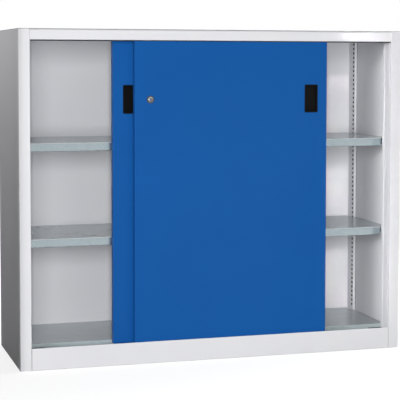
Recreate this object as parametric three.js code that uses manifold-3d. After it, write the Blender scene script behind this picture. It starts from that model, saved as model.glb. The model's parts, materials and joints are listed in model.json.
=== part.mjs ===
// Steel cabinet with two sliding doors, shelves on perforated posts and a push lock.
// Millimetres, +Z up, front towards -Y. The origin lies on the floor under the cabinet's middle.
import * as THREE from 'three';
import { mergeVertices } from 'three/addons/utils/BufferGeometryUtils.js';
import Module from 'manifold-3d';

const wasm = await Module();
wasm.setup();

// Whole cabinet
const cabinetWidth = 1200;
const cabinetHeight = 1000;
const cabinetDepth = 400;

// Sheet steel: thickness, outer radius of a fold, and the gap between two seated sheets
const sheet = 1.2;
const bendRadius = 2.4;
const bendSteps = 3;
const seam = 0.3;

// Side panels, rail and plinth
const stileWidth = 33;
const jambDepth = 64;
const rearFlangeWidth = 14;
const railHeight = 32.5;
const railLip = 3;
const railFlangeDepth = 20;
const plinthHeight = 66;
const plinthHemHeight = 10;
const plinthFootDepth = 20;

// Base panel under the floor, down from the plinth's top edge
const basePanelDrop = 22;
const basePanelFlange = 20;

// Doors: flat trays, open at the back, one lane each. Shut, they overlap in the middle,
// and their edges always reach up behind the rail and down behind the plinth.
const doorOverlap = 87;
const doorTopCover = 13.5;
const doorBottomCover = 8;
const doorThickness = 23;
const doorLip = 14;
const doorFrontGap = 8;
const lanePitch = 30;
const doorEdgeBevel = 1.5;
const doorJambClearance = 0.5;
const frontDoorShift = 50;
const rearDoorShift = -9.5;
const stiffenerWidth = 60;
const stiffenerCrown = 36;
const stiffenerDepth = 16;
const stiffenerEndGap = 3;

// Tracks
const trackSheet = 1.2;
const topTrackDrop = 2.5;
const runnerWidth = 2.4;
const runnerHeight = 3;
const trackFrontLipHeight = 14;
const trackMiddleRibHeight = 9;
const trackEndGap = 0.6;

// Rollers, brackets and axles, in from the door's edges
const rollerInset = 60;
const rollerRadius = 8;
const rollerFlangeRadius = 10;
const rollerWidth = 8;
const rollerGrooveWidth = 3.4;
const rollerRunGap = 0.3;
const rollerSideGap = 0.6;
const axleRadius = 2;
const axleHeadRadius = 3.4;
const axleHeadThickness = 1.2;
const axleClearance = 0.25;
const bracketLength = 26;
const bracketSheet = 1.5;
const bracketCheekDrop = 4.5;
const bracketCrownGap = 2;
const bracketScrewFlange = 20;
const bracketSlotGap = 2.2;
const roundSteps = 32;

// Guides on the doors' top edges
const guideLength = 34;
const guideHeight = 9.7;
const guideSideGap = 0.6;
const guideFootLength = 24;
const guideFootWidth = 12;
const guideFootDrop = 5;

// Rubber stops at the ends of the bottom track
const stopWidth = 12;
const stopTopGap = 1.5;

// Recessed grips, at one height with the lock
const handleDrop = 189;
const gripWidth = 43;
const gripHeight = 86;
const gripInset = 30.5;
const gripRim = 2.5;
const gripProud = 1;
const gripDepth = 13;
const gripWall = 1.5;
const gripCornerRadius = 4;

// Push lock on the front door, keeper on the rear door
const lockInset = 47.5;
const lockFlangeRadius = 11.5;
const lockFlangeThickness = 2.5;
const lockBarrelRadius = 9.5;
const lockBarrelLength = 19;
const lockNutWidth = 25;
const lockNutThickness = 4.5;
const lockChamfer = 0.8;
const cylinderRadius = 7.4;
const cylinderSetback = 0.3;
const cylinderShoulderDepth = 15;
const cylinderTipSetback = 0.5;
const boltRadius = 4;
const coreRadius = 4.8;
const coreLength = 16;
const coreRecess = 0.4;
const keySlotWidth = 1.8;
const keySlotHeight = 6.4;
const keySlotDepth = 9;
const lockClearance = 0.3;
const keeperWidth = 26;
const keeperHeight = 44;
const keeperThickness = 4.5;
const keeperHoleClearance = 1;

// Perforated posts
const postFaceInset = 15;
const frontPostDepth = 40;
const rearPostDepth = 51;
const slotPitch = 15;
const slotLength = 12;
const slotHeight = 6;
const slotEdge = 5;
const firstSlotRise = 18;

// Galvanised shelves
const shelfSheet = 1;
const shelfSideGap = 1.4;
const shelfLipHeight = 25;
const shelfHem = 12;
const shelfRearLipHeight = 20;
const shelfFrontLipEndInset = 35;
const shelfNotchGap = 0.8;
const shelfStiffenerLength = 1120;
const shelfStiffenerWidth = 50;
const shelfStiffenerDepth = 15;
const shelfStiffenerFlange = 10;
const lowerShelfSlot = 20;
const upperShelfSlot = 39;
const floorDrop = 6;
const shelfTrackGap = 0.9;

// Clips that hang in the posts' slots
const clipWidth = 10;
const clipThickness = 2;
const clipReach = 14;
const clipLegHeight = 14;
const clipHookDrop = 3;

// A tool's cut runs past the face that it opens by this much
const overrun = 5;

// Places worked out from the sizes above
const front = -cabinetDepth / 2;
const back = cabinetDepth / 2;
const halfWidth = cabinetWidth / 2;
const innerHalf = halfWidth - sheet;
const jambHalf = halfWidth - stileWidth;
const basePanelHeight = plinthHeight - basePanelDrop;
const floorHeight = plinthHeight - floorDrop;
const trackHalf = jambHalf - trackEndGap;
const sideTop = cabinetHeight - sheet - seam;
const backPanelRear = back - sheet - seam;
const backPanelFace = backPanelRear - sheet;
const topTrackHeight = sideTop - sheet - seam;
const topTrackLow = cabinetHeight - railHeight - topTrackDrop;
const trackFloor = basePanelHeight + seam + trackSheet;
const laneY = [0, 1].map((lane) => front + doorFrontGap + doorThickness / 2 + lane * lanePitch);
const laneEdgeY = [0, 1, 2].map((edge) => laneY[0] + (edge - 1 / 2) * lanePitch);
const rollerHeight = trackFloor + runnerHeight + rollerRunGap + rollerRadius;
const doorWidth = jambHalf + doorOverlap / 2 - doorJambClearance;
const doorBottomHeight = plinthHeight - doorBottomCover;
const doorTopHeight = cabinetHeight - railHeight + doorTopCover;
const handleHeight = doorTopHeight - handleDrop;
const trackRear = laneEdgeY[2] + trackSheet / 2;
const postFace = halfWidth - postFaceInset;
const frontPostFront = front + jambDepth + seam;
const rearPostRear = backPanelFace - seam;
const shelfFront = trackRear + shelfTrackGap;
const shelfBack = backPanelFace - seam;
const shelfHalf = innerHalf - shelfSideGap;
const keeperInset = doorOverlap - lockInset;
const cylinderProud = doorFrontGap - cylinderSetback;

const paint = new THREE.MeshStandardMaterial({ color: '#e4e4e7', roughness: 0.45, metalness: 0 });
const blue = new THREE.MeshStandardMaterial({ color: '#1b5aa2', roughness: 0.4, metalness: 0 });
const zinc = new THREE.MeshStandardMaterial({ color: '#9aa4aa', roughness: 0.4, metalness: 0.8 });
const steel = new THREE.MeshStandardMaterial({ color: '#b0b3b6', roughness: 0.35, metalness: 1 });
const chrome = new THREE.MeshStandardMaterial({ color: '#c9ccd0', roughness: 0.15, metalness: 1 });
const black = new THREE.MeshStandardMaterial({ color: '#131313', roughness: 0.5, metalness: 0 });
const rubber = new THREE.MeshStandardMaterial({ color: '#1d1d1e', roughness: 0.85, metalness: 0 });
const nylon = new THREE.MeshStandardMaterial({ color: '#e8e6df', roughness: 0.5, metalness: 0 });

// Joining and cutting

function toSolid(geometry) {
  const bare = geometry.clone();
  bare.deleteAttribute('normal');
  bare.deleteAttribute('uv');
  const merged = mergeVertices(bare);
  return new wasm.Manifold(new wasm.Mesh({
    numProp: 3,
    vertProperties: new Float32Array(merged.attributes.position.array),
    triVerts: new Uint32Array(merged.index.array),
  }));
}

function toGeometry(solid) {
  const mesh = solid.getMesh();
  const geometry = new THREE.BufferGeometry();
  geometry.setAttribute('position', new THREE.BufferAttribute(mesh.vertProperties, mesh.numProp));
  geometry.setIndex(new THREE.BufferAttribute(mesh.triVerts, 1));
  return geometry;
}

function cut(geometry, ...tools) {
  const solids = tools.map(toSolid);
  return toGeometry(solids.reduce((left, tool) => left.subtract(tool), toSolid(geometry)));
}

function join(...geometries) {
  const solids = geometries.map(toSolid);
  return toGeometry(solids.reduce((whole, piece) => whole.add(piece)));
}

// Basic solids

function block([x0, x1], [y0, y1], [z0, z1]) {
  const geometry = new THREE.BoxGeometry(x1 - x0, y1 - y0, z1 - z0);
  return geometry.translate((x0 + x1) / 2, (y0 + y1) / 2, (z0 + z1) / 2);
}

function outline(points) {
  return new THREE.Shape(points.map(([u, v]) => new THREE.Vector2(u, v)));
}

const xAxis = new THREE.Vector3(1, 0, 0);
const yAxis = new THREE.Vector3(0, 1, 0);
const zAxis = new THREE.Vector3(0, 0, 1);

function extrude(points, length) {
  return new THREE.ExtrudeGeometry(outline(points), { depth: length, bevelEnabled: false });
}

// An outline of [y, z] points run along X
function alongX(points, x0, x1) {
  const turn = new THREE.Matrix4().makeBasis(yAxis, zAxis, xAxis);
  return extrude(points, x1 - x0).applyMatrix4(turn).translate(x0, 0, 0);
}

// An outline of [x, z] points run along Y
function alongY(points, y0, y1) {
  const turn = new THREE.Matrix4().makeBasis(xAxis, zAxis, yAxis.clone().negate());
  return extrude(points, y1 - y0).applyMatrix4(turn).translate(0, y1, 0);
}

// An outline of [x, y] points run along Z
function alongZ(points, z0, z1) {
  return extrude(points, z1 - z0).translate(0, 0, z0);
}

// A closed profile of [radius, y] points turned about the Y axis
function turned(profile) {
  const points = profile.map(([radius, y]) => new THREE.Vector2(radius, y));
  return new THREE.LatheGeometry(points, roundSteps);
}

// A disc or round tool along Y
function disc(radius, y0, y1) {
  return turned([[0, y0], [radius, y0], [radius, y1], [0, y1]]);
}

function roundedRectangle(width, height, radius, x, z) {
  const corners = [[1, 1, 0], [-1, 1, 1], [-1, -1, 2], [1, -1, 3]];
  return corners.flatMap(([sx, sz, quarter]) => {
    const cx = x + sx * (width / 2 - radius);
    const cz = z + sz * (height / 2 - radius);
    return Array.from({ length: bendSteps + 1 }, (_, step) => {
      const angle = (quarter + step / bendSteps) * Math.PI / 2;
      return [cx + radius * Math.cos(angle), cz + radius * Math.sin(angle)];
    });
  });
}

// Points of an arc that rounds one corner of a path
function roundedCorner(before, corner, after, radius) {
  const c = new THREE.Vector2(...corner);
  const toBefore = new THREE.Vector2(...before).sub(c).normalize();
  const toAfter = new THREE.Vector2(...after).sub(c).normalize();
  const half = Math.acos(toBefore.dot(toAfter)) / 2;
  const middle = toBefore.clone().add(toAfter).normalize();
  const centre = c.clone().add(middle.multiplyScalar(radius / Math.sin(half)));
  const start = c.clone().add(toBefore.multiplyScalar(radius / Math.tan(half))).sub(centre);
  const end = c.clone().add(toAfter.multiplyScalar(radius / Math.tan(half))).sub(centre);
  const turn = Math.atan2(start.cross(end), start.dot(end));
  return Array.from({ length: bendSteps + 1 }, (_, step) => {
    const arm = start.clone().rotateAround(new THREE.Vector2(), turn * step / bendSteps);
    return [centre.x + arm.x, centre.y + arm.y];
  });
}

// Outline of a folded sheet. The path follows one face, and the metal lies on its left.
function foldedSheet(path, thickness) {
  const points = path.map(([u, v]) => new THREE.Vector2(u, v));
  const directions = points.slice(1).map((point, i) => point.clone().sub(points[i]).normalize());
  const leftOf = (d) => new THREE.Vector2(-d.y, d.x);
  const offset = points.map((point, i) => {
    const before = directions[Math.max(i - 1, 0)];
    const after = directions[Math.min(i, directions.length - 1)];
    const sum = leftOf(before).add(leftOf(after));
    return point.clone().add(sum.multiplyScalar(thickness / (1 + before.dot(after))));
  });
  const round = (line, isOffset) => line.flatMap((point, i) => {
    if (i === 0 || i === line.length - 1) return [[point.x, point.y]];
    const turnsLeft = directions[i - 1].cross(directions[i]) > 0;
    const radius = turnsLeft === isOffset ? bendRadius - thickness : bendRadius;
    return roundedCorner(line[i - 1].toArray(), point.toArray(), line[i + 1].toArray(), radius);
  });
  return [...round(points, false), ...round(offset, true).reverse()];
}

function mirrored(points) {
  return points.map(([x, y]) => [-x, y]).reverse();
}

function named(name, geometry, material) {
  const mesh = new THREE.Mesh(geometry, material);
  mesh.name = name;
  return mesh;
}

function placed(mesh, x, y, z) {
  mesh.position.set(x, y, z);
  return mesh;
}

// Carcass

// Outer wall, stile and jamb, with a narrow flange behind the back panel
function sidePanel(side) {
  const path = [
    [-jambHalf, front + jambDepth],
    [-jambHalf, front],
    [-halfWidth, front],
    [-halfWidth, back],
    [rearFlangeWidth - halfWidth, back],
  ];
  const section = foldedSheet([...path].reverse(), sheet).reverse();
  return alongZ(side < 0 ? section : mirrored(section), 0, sideTop);
}

// Flat lid with a flange down between the side panels' rear flanges
function topPanel() {
  const plate = block([-halfWidth, halfWidth], [front, back], [cabinetHeight - sheet, cabinetHeight]);
  const flangeHalf = halfWidth - rearFlangeWidth - seam;
  const flangeLow = cabinetHeight - rearFlangeWidth;
  const flange = block([-flangeHalf, flangeHalf], [back - sheet, back], [flangeLow, cabinetHeight]);
  return join(plate, flange);
}

// Face above the doors, with a small lip under it and a flange under the lid
function topRail() {
  const low = cabinetHeight - railHeight;
  const path = [[front + railLip, low], [front, low], [front, sideTop], [front + railFlangeDepth, sideTop]];
  const section = foldedSheet([...path].reverse(), sheet);
  return alongX(section, -trackHalf, trackHalf);
}

function backPanel() {
  const half = halfWidth - bendRadius - seam;
  return block([-half, half], [backPanelFace, backPanelRear], [0, sideTop]);
}

// Face below the doors, hemmed along its top and footed along the floor
function plinth() {
  const hemRear = front + 2 * sheet;
  const path = [[front + plinthFootDepth, 0], [front, 0], [front, plinthHeight], [hemRear, plinthHeight]];
  const face = foldedSheet([...path].reverse(), sheet);
  const hemZs = [plinthHeight - plinthHemHeight, plinthHeight - sheet / 2];
  const hem = block([-trackHalf, trackHalf], [front + sheet / 2, hemRear], hemZs);
  return join(alongX(face, -trackHalf, trackHalf), hem);
}

// Pan that carries the bottom track and the floor, cut away round the jambs
function basePanel() {
  const flangeLow = basePanelHeight - basePanelFlange;
  const frontEdge = front + sheet + seam;
  const rearEdge = backPanelFace - seam;
  const path = [
    [frontEdge, flangeLow],
    [frontEdge, basePanelHeight],
    [rearEdge, basePanelHeight],
    [rearEdge, flangeLow],
  ];
  const half = innerHalf - seam;
  const pan = alongX(foldedSheet([...path].reverse(), sheet), -half, half);
  const notches = [-1, 1].map((side) => {
    const xs = [side * trackHalf, side * (half + overrun)].sort((a, b) => a - b);
    const ys = [frontEdge - overrun, front + jambDepth + seam];
    return block(xs, ys, [flangeLow - overrun, basePanelHeight + overrun]);
  });
  return cut(pan, ...notches);
}

// Double track: a lip in front, a rib between the lanes, a lip behind and a runner in each lane
function bottomTrack() {
  const low = basePanelHeight + seam;
  const rib = trackSheet / 2;
  const run = runnerWidth / 2;
  const runnerTop = trackFloor + runnerHeight;
  const edges = [trackFloor + trackFrontLipHeight, trackFloor + trackMiddleRibHeight, plinthHeight];
  const ridge = (y, half, top) => [
    [y - half, trackFloor], [y - half, top], [y + half, top], [y + half, trackFloor],
  ];
  const section = [
    [laneEdgeY[0] - rib, low],
    ...ridge(laneEdgeY[0], rib, edges[0]).slice(1),
    ...ridge(laneY[0], run, runnerTop),
    ...ridge(laneEdgeY[1], rib, edges[1]),
    ...ridge(laneY[1], run, runnerTop),
    ...ridge(laneEdgeY[2], rib, edges[2]).slice(0, -1),
    [laneEdgeY[2] + rib, low],
  ];
  return alongX(section, -trackHalf, trackHalf);
}

// Comb of three webs under a flat crown, with a lane between each two
function topTrack() {
  const rib = trackSheet / 2;
  const crownLow = topTrackHeight - trackSheet;
  const web = (y) => [
    [y - rib, crownLow], [y - rib, topTrackLow], [y + rib, topTrackLow], [y + rib, crownLow],
  ];
  const webs = laneEdgeY.map(web);
  const section = [
    [laneEdgeY[0] - rib, topTrackHeight],
    ...webs[0].slice(1),
    ...webs[1],
    ...webs[2].slice(0, -1),
    [laneEdgeY[2] + rib, topTrackHeight],
  ];
  return alongX(section, -trackHalf, trackHalf);
}

// Rubber block that straddles the runner and stops the roller bracket
function trackStop(lane, side) {
  const y = laneY[lane];
  const half = stopWidth / 2;
  const groove = runnerWidth / 2 + seam;
  const low = trackFloor + seam;
  const grooveTop = trackFloor + runnerHeight + seam;
  const top = doorBottomHeight - stopTopGap;
  const section = [
    [y - half, low], [y - half, top], [y + half, top], [y + half, low],
    [y + groove, low], [y + groove, grooveTop], [y - groove, grooveTop], [y - groove, low],
  ];
  const bracketEnd = jambHalf - doorJambClearance - rollerInset + bracketLength / 2;
  const ends = [side * (bracketEnd + seam), side * (trackHalf - seam)].sort((a, b) => a - b);
  return alongX(section, ...ends);
}

// Shelf posts and clips

const firstSlot = floorHeight + firstSlotRise;
const slotCount = Math.floor((sideTop - firstSlot - slotHeight) / slotPitch);
const slotZ = (slot) => firstSlot + slot * slotPitch;

// Front and rear ends of a post, and the middle of its column of slots
function postPlace(end) {
  if (end === 'front') {
    const rear = frontPostFront + frontPostDepth;
    return { from: frontPostFront, to: rear, slotY: rear - slotEdge - slotLength / 2 };
  }
  const from = rearPostRear - rearPostDepth;
  return { from, to: rearPostRear, slotY: from + slotEdge + slotLength / 2 };
}

// Channel open towards the side wall, its inner face pierced by a column of slots
function post(side, end) {
  const { from, to, slotY } = postPlace(end);
  const wall = innerHalf - seam;
  const path = [[-wall, from], [-postFace, from], [-postFace, to], [-wall, to]];
  const section = foldedSheet(path, sheet);
  const channel = alongZ(side < 0 ? section : mirrored(section), basePanelHeight + seam, sideTop - seam);
  const ys = [slotY - slotLength / 2, slotY + slotLength / 2];
  const xs = [side * (postFace - overrun), side * (postFace + sheet + overrun)].sort((a, b) => a - b);
  const slots = Array.from({ length: slotCount }, (_, slot) => {
    return block(xs, ys, [slotZ(slot) - slotHeight / 2, slotZ(slot) + slotHeight / 2]);
  });
  return cut(channel, join(...slots));
}

const clipFloor = (slot) => slotZ(slot) - slotHeight / 2 + seam;
const shelfUnderside = (slot) => clipFloor(slot) + clipThickness + seam;

// Strip that hooks over a slot's lower edge, with an arm for the shelf and a leg down the post
function clip(side, end, slot) {
  const { slotY } = postPlace(end);
  const low = clipFloor(slot);
  const top = low + clipThickness;
  const legFace = postFace - seam;
  const hookFace = postFace + sheet + seam;
  const section = [
    [legFace - clipReach, low], [legFace - clipThickness, low],
    [legFace - clipThickness, low - clipLegHeight], [legFace, low - clipLegHeight], [legFace, low],
    [hookFace, low], [hookFace, low - clipHookDrop], [hookFace + clipThickness, low - clipHookDrop],
    [hookFace + clipThickness, top], [legFace - clipReach, top],
  ];
  return alongY(side > 0 ? section : mirrored(section), slotY - clipWidth / 2, slotY + clipWidth / 2);
}

// Shelves

// Plate outline in plan, notched at the corners round the posts
function shelfPlate(frontEdge) {
  const notchHalf = postFace - shelfNotchGap;
  const frontNotch = postPlace('front').to + shelfNotchGap;
  const rearNotch = postPlace('rear').from - shelfNotchGap;
  const right = [
    [notchHalf, frontEdge], [notchHalf, frontNotch], [shelfHalf, frontNotch],
    [shelfHalf, rearNotch], [notchHalf, rearNotch], [notchHalf, shelfBack],
  ];
  return [...right, ...mirrored(right)];
}

// Side lip between the notches
function shelfSideLip(side, low, top) {
  const xs = [side * shelfHalf, side * (shelfHalf - shelfSheet)].sort((a, b) => a - b);
  const ys = [postPlace('front').to + shelfNotchGap, postPlace('rear').from - shelfNotchGap];
  return block(xs, ys, [low, top]);
}

// Galvanised shelf with a hemmed front lip
function shelf(slot) {
  const under = shelfUnderside(slot);
  const top = under + shelfSheet;
  const frontPath = [
    [shelfFront + shelfHem, top - shelfLipHeight],
    [shelfFront, top - shelfLipHeight],
    [shelfFront, top],
    [shelfFront + 2 * shelfHem, top],
  ];
  const lipHalf = halfWidth - shelfFrontLipEndInset;
  const frontLip = alongX(foldedSheet([...frontPath].reverse(), shelfSheet), -lipHalf, lipHalf);
  const plate = alongZ(shelfPlate(shelfFront + bendRadius), under, top);
  const rearHalf = postFace - shelfNotchGap;
  const rearYs = [shelfBack - shelfSheet, shelfBack];
  const rearLip = block([-rearHalf, rearHalf], rearYs, [top - shelfRearLipHeight, top]);
  const sideLips = [-1, 1].map((side) => shelfSideLip(side, top - shelfLipHeight, top));
  return join(plate, frontLip, rearLip, ...sideLips);
}

// Hat section welded under a shelf's middle
function shelfStiffener(slot) {
  const top = shelfUnderside(slot) - seam;
  const middle = (shelfFront + shelfBack) / 2;
  const half = shelfStiffenerWidth / 2;
  const crown = half - shelfStiffenerFlange;
  const low = top - shelfStiffenerDepth;
  const path = [
    [middle - half, top], [middle - crown, top], [middle - crown, low],
    [middle + crown, low], [middle + crown, top], [middle + half, top],
  ];
  const section = foldedSheet([...path].reverse(), shelfSheet);
  return alongX(section, -shelfStiffenerLength / 2, shelfStiffenerLength / 2);
}

// Floor plate that stands on the base panel by its four lips
function bottomShelf() {
  const low = basePanelHeight + seam;
  const under = floorHeight - shelfSheet;
  const frontPath = [[shelfFront, low], [shelfFront, floorHeight], [shelfFront + 2 * shelfHem, floorHeight]];
  const lipHalf = postFace - shelfNotchGap;
  const frontLip = alongX(foldedSheet([...frontPath].reverse(), shelfSheet), -lipHalf, lipHalf);
  const plate = alongZ(shelfPlate(shelfFront + bendRadius), under, floorHeight);
  const rearLip = block([-lipHalf, lipHalf], [shelfBack - shelfSheet, shelfBack], [low, floorHeight]);
  const sideLips = [-1, 1].map((side) => shelfSideLip(side, low, floorHeight));
  return join(plate, frontLip, rearLip, ...sideLips);
}

// Doors, each in its own group: x from the door's middle, y from its front face

const halfDoor = doorWidth / 2;
const doorHeight = doorTopHeight - doorBottomHeight;
const doorMiddleZ = (doorTopHeight + doorBottomHeight) / 2;

const cupWidth = gripWidth - 2 * gripRim;
const cupHeight = gripHeight - 2 * gripRim;

// Shallow tray: skin, four returns and a lip all round the back
function doorTray(gripX, lockX) {
  const depth = doorThickness - 2 * doorEdgeBevel;
  const rectangle = [[1, 1], [-1, 1], [-1, -1], [1, -1]];
  const place = ([sx, sz], inset) => [sx * (halfDoor - inset), doorMiddleZ + sz * (doorHeight / 2 - inset)];
  const slab = new THREE.ExtrudeGeometry(outline(rectangle.map((corner) => place(corner, doorEdgeBevel))), {
    depth,
    bevelThickness: doorEdgeBevel,
    bevelSize: doorEdgeBevel,
    bevelSegments: bendSteps,
  });
  const turn = new THREE.Matrix4().makeBasis(xAxis, zAxis, yAxis.clone().negate());
  slab.applyMatrix4(turn).translate(0, doorThickness - doorEdgeBevel, 0);
  const hollow = alongY(rectangle.map((corner) => place(corner, sheet)), sheet, doorThickness - sheet);
  const window = alongY(rectangle.map((corner) => place(corner, doorLip)), sheet, doorThickness + overrun);
  const cutouts = [hollow, window, gripCutout(gripX), ...rollerSlots(), ...guideSlots()];
  if (lockX !== undefined) cutouts.push(lockHole(lockX));
  return cut(slab, ...cutouts);
}

function gripCutout(x) {
  const radius = gripCornerRadius - gripRim + seam;
  const hole = roundedRectangle(cupWidth + 2 * seam, cupHeight + 2 * seam, radius, x, handleHeight);
  return alongY(hole, -overrun, sheet + overrun);
}

function lockHole(x) {
  return disc(lockBarrelRadius + seam, -overrun, sheet + overrun).translate(x, 0, handleHeight);
}

const rollerXs = [-1, 1].map((side) => side * (halfDoor - rollerInset));
const bracketCheek = rollerWidth / 2 + rollerSideGap + bracketSheet;

function rollerSlots() {
  const half = bracketLength / 2 + seam;
  const halfY = bracketCheek + bracketSlotGap;
  const middle = doorThickness / 2;
  const zs = [doorBottomHeight - overrun, doorBottomHeight + sheet + seam];
  return rollerXs.map((x) => block([x - half, x + half], [middle - halfY, middle + halfY], zs));
}

function guideSlots() {
  const half = guideFootLength / 2 + seam;
  const halfY = guideFootWidth / 2 + seam;
  const middle = doorThickness / 2;
  const zs = [doorTopHeight - sheet - seam, doorTopHeight + overrun];
  return rollerXs.map((x) => block([x - half, x + half], [middle - halfY, middle + halfY], zs));
}

// Hat section behind the skin's middle
function doorStiffener() {
  const y = sheet + seam;
  const half = stiffenerWidth / 2;
  const crown = stiffenerCrown / 2;
  const path = [
    [-half, y], [-crown, y], [-crown, y + stiffenerDepth],
    [crown, y + stiffenerDepth], [crown, y], [half, y],
  ];
  const zs = [doorBottomHeight + stiffenerEndGap, doorTopHeight - stiffenerEndGap];
  return alongZ(foldedSheet(path, sheet), ...zs);
}

// Black cup with a rounded rim, open to the front
function grip() {
  const rim = roundedRectangle(gripWidth, gripHeight, gripCornerRadius, 0, 0);
  const cup = roundedRectangle(cupWidth, cupHeight, gripCornerRadius - gripRim, 0, 0);
  const hollowWidth = cupWidth - 2 * gripWall;
  const hollowHeight = cupHeight - 2 * gripWall;
  const hollow = roundedRectangle(hollowWidth, hollowHeight, gripCornerRadius - gripRim, 0, 0);
  const body = join(alongY(rim, -gripProud - seam, -seam), alongY(cup, -seam - gripProud / 2, gripDepth));
  return cut(body, alongY(hollow, -gripProud - overrun, gripDepth - gripWall));
}

// Inverted channel over the roller, with a flange up behind the skin for its screws
function rollerBracket() {
  const middle = doorThickness / 2;
  const cheekLow = -bracketCheekDrop;
  const crownLow = rollerFlangeRadius + bracketCrownGap;
  const crownTop = crownLow + bracketSheet;
  const flangeTop = crownTop + bracketScrewFlange;
  const outer = bracketCheek;
  const inner = bracketCheek - bracketSheet;
  const skin = sheet + seam;
  const section = [
    [middle - outer, cheekLow], [middle - inner, cheekLow], [middle - inner, crownLow],
    [middle + inner, crownLow], [middle + inner, cheekLow], [middle + outer, cheekLow],
    [middle + outer, crownTop], [skin + bracketSheet, crownTop], [skin + bracketSheet, flangeTop],
    [skin, flangeTop], [skin, crownLow], [middle - outer, crownLow],
  ];
  const channel = alongX(section, -bracketLength / 2, bracketLength / 2);
  const bore = disc(axleRadius + axleClearance, middle - outer - overrun / 2, middle + outer + overrun / 2);
  return cut(channel, bore);
}

// Grooved wheel that turns about Y
function roller() {
  const half = rollerWidth / 2;
  const groove = rollerGrooveWidth / 2;
  const flank = rollerFlangeRadius - rollerRadius;
  const bore = axleRadius + axleClearance;
  return turned([
    [bore, -half], [rollerFlangeRadius - lockChamfer, -half], [rollerFlangeRadius, lockChamfer - half],
    [rollerFlangeRadius, -groove - flank / 2], [rollerRadius, -groove], [rollerRadius, groove],
    [rollerFlangeRadius, groove + flank / 2], [rollerFlangeRadius, half - lockChamfer],
    [rollerFlangeRadius - lockChamfer, half], [bore, half], [bore, -half],
  ]);
}

// Rivet with a head outside each cheek
function axle() {
  const headInner = bracketCheek + seam;
  const headOuter = headInner + axleHeadThickness;
  return turned([
    [0, -headOuter], [axleHeadRadius, -headOuter], [axleHeadRadius, -headInner], [axleRadius, -headInner],
    [axleRadius, headInner], [axleHeadRadius, headInner], [axleHeadRadius, headOuter], [0, headOuter],
  ]);
}

// Block that runs in the top track, with a foot through the tray's top return
function topGuide() {
  const halfY = (lanePitch - trackSheet) / 2 - guideSideGap;
  const low = seam;
  const body = block([-guideLength / 2, guideLength / 2], [-halfY, halfY], [low, low + guideHeight]);
  const footXs = [-guideFootLength / 2, guideFootLength / 2];
  const footYs = [-guideFootWidth / 2, guideFootWidth / 2];
  const foot = block(footXs, footYs, [-guideFootDrop, low + guideHeight / 2]);
  return join(body, foot);
}

// Push lock, turned about Y with y = 0 on the door's face

// Flange on the face and barrel through the skin, bored for the cylinder
function lockHousing() {
  const bore = cylinderRadius + lockClearance;
  const face = -seam - lockFlangeThickness;
  return turned([
    [bore, face], [lockFlangeRadius - lockChamfer, face], [lockFlangeRadius, face + lockChamfer],
    [lockFlangeRadius, -seam], [lockBarrelRadius, -seam], [lockBarrelRadius, lockBarrelLength],
    [bore, lockBarrelLength], [bore, face],
  ]);
}

function lockNut() {
  const radius = lockNutWidth / Math.sqrt(3);
  const hexagon = Array.from({ length: 6 }, (_, corner) => {
    const angle = corner * Math.PI / 3;
    return [radius * Math.cos(angle), radius * Math.sin(angle)];
  });
  const y0 = sheet + seam;
  const nut = alongY(hexagon, y0, y0 + lockNutThickness);
  return cut(nut, disc(lockBarrelRadius + seam / 2, y0 - overrun, y0 + lockNutThickness + overrun));
}

const cylinderTip = doorThickness - cylinderTipSetback;

// Push cylinder: bored in front for the key core, stepped down to the bolt behind
function lockCylinder() {
  const bore = coreRadius + lockClearance;
  const face = -cylinderProud;
  const boreEnd = face + coreRecess + coreLength + lockClearance;
  return turned([
    [0, boreEnd], [bore, boreEnd], [bore, face], [cylinderRadius - lockChamfer, face],
    [cylinderRadius, face + lockChamfer], [cylinderRadius, cylinderShoulderDepth],
    [boltRadius, cylinderShoulderDepth], [boltRadius, cylinderTip - lockChamfer],
    [boltRadius - lockChamfer, cylinderTip], [0, cylinderTip],
  ]);
}

// Round core with an upright slot for the key
function lockCore() {
  const face = coreRecess - cylinderProud;
  const slotXs = [-keySlotWidth / 2, keySlotWidth / 2];
  const slotZs = [-keySlotHeight / 2, keySlotHeight / 2];
  const slot = block(slotXs, [face - overrun, face + keySlotDepth], slotZs);
  return cut(disc(coreRadius, face, face + coreLength), slot);
}

// Raised plate whose hole takes the bolt when both doors are shut
function keeperPlate() {
  const plate = roundedRectangle(keeperWidth, keeperHeight, gripCornerRadius, 0, 0);
  const face = -seam - keeperThickness;
  const hole = disc(boltRadius + keeperHoleClearance, face - overrun, overrun);
  return cut(alongY(plate, face, -seam), hole);
}

// Assembly

const cabinet = new THREE.Group();
const carcass = new THREE.Group();
const frontDoor = new THREE.Group();
const rearDoor = new THREE.Group();
cabinet.add(carcass, frontDoor, rearDoor);
frontDoor.position.set(frontDoorShift, laneY[0] - doorThickness / 2, 0);
rearDoor.position.set(rearDoorShift, laneY[1] - doorThickness / 2, 0);

const sides = [['left', -1], ['right', 1]];

carcass.add(
  named('top_panel', topPanel(), paint),
  named('top_rail', topRail(), paint),
  named('back_panel', backPanel(), paint),
  named('plinth', plinth(), paint),
  named('base_panel', basePanel(), paint),
  named('bottom_track', bottomTrack(), zinc),
  named('top_track', topTrack(), zinc),
  named('bottom_shelf', bottomShelf(), zinc),
  named('lower_shelf', shelf(lowerShelfSlot), zinc),
  named('upper_shelf', shelf(upperShelfSlot), zinc),
  named('lower_shelf_stiffener', shelfStiffener(lowerShelfSlot), zinc),
  named('upper_shelf_stiffener', shelfStiffener(upperShelfSlot), zinc),
);

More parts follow.
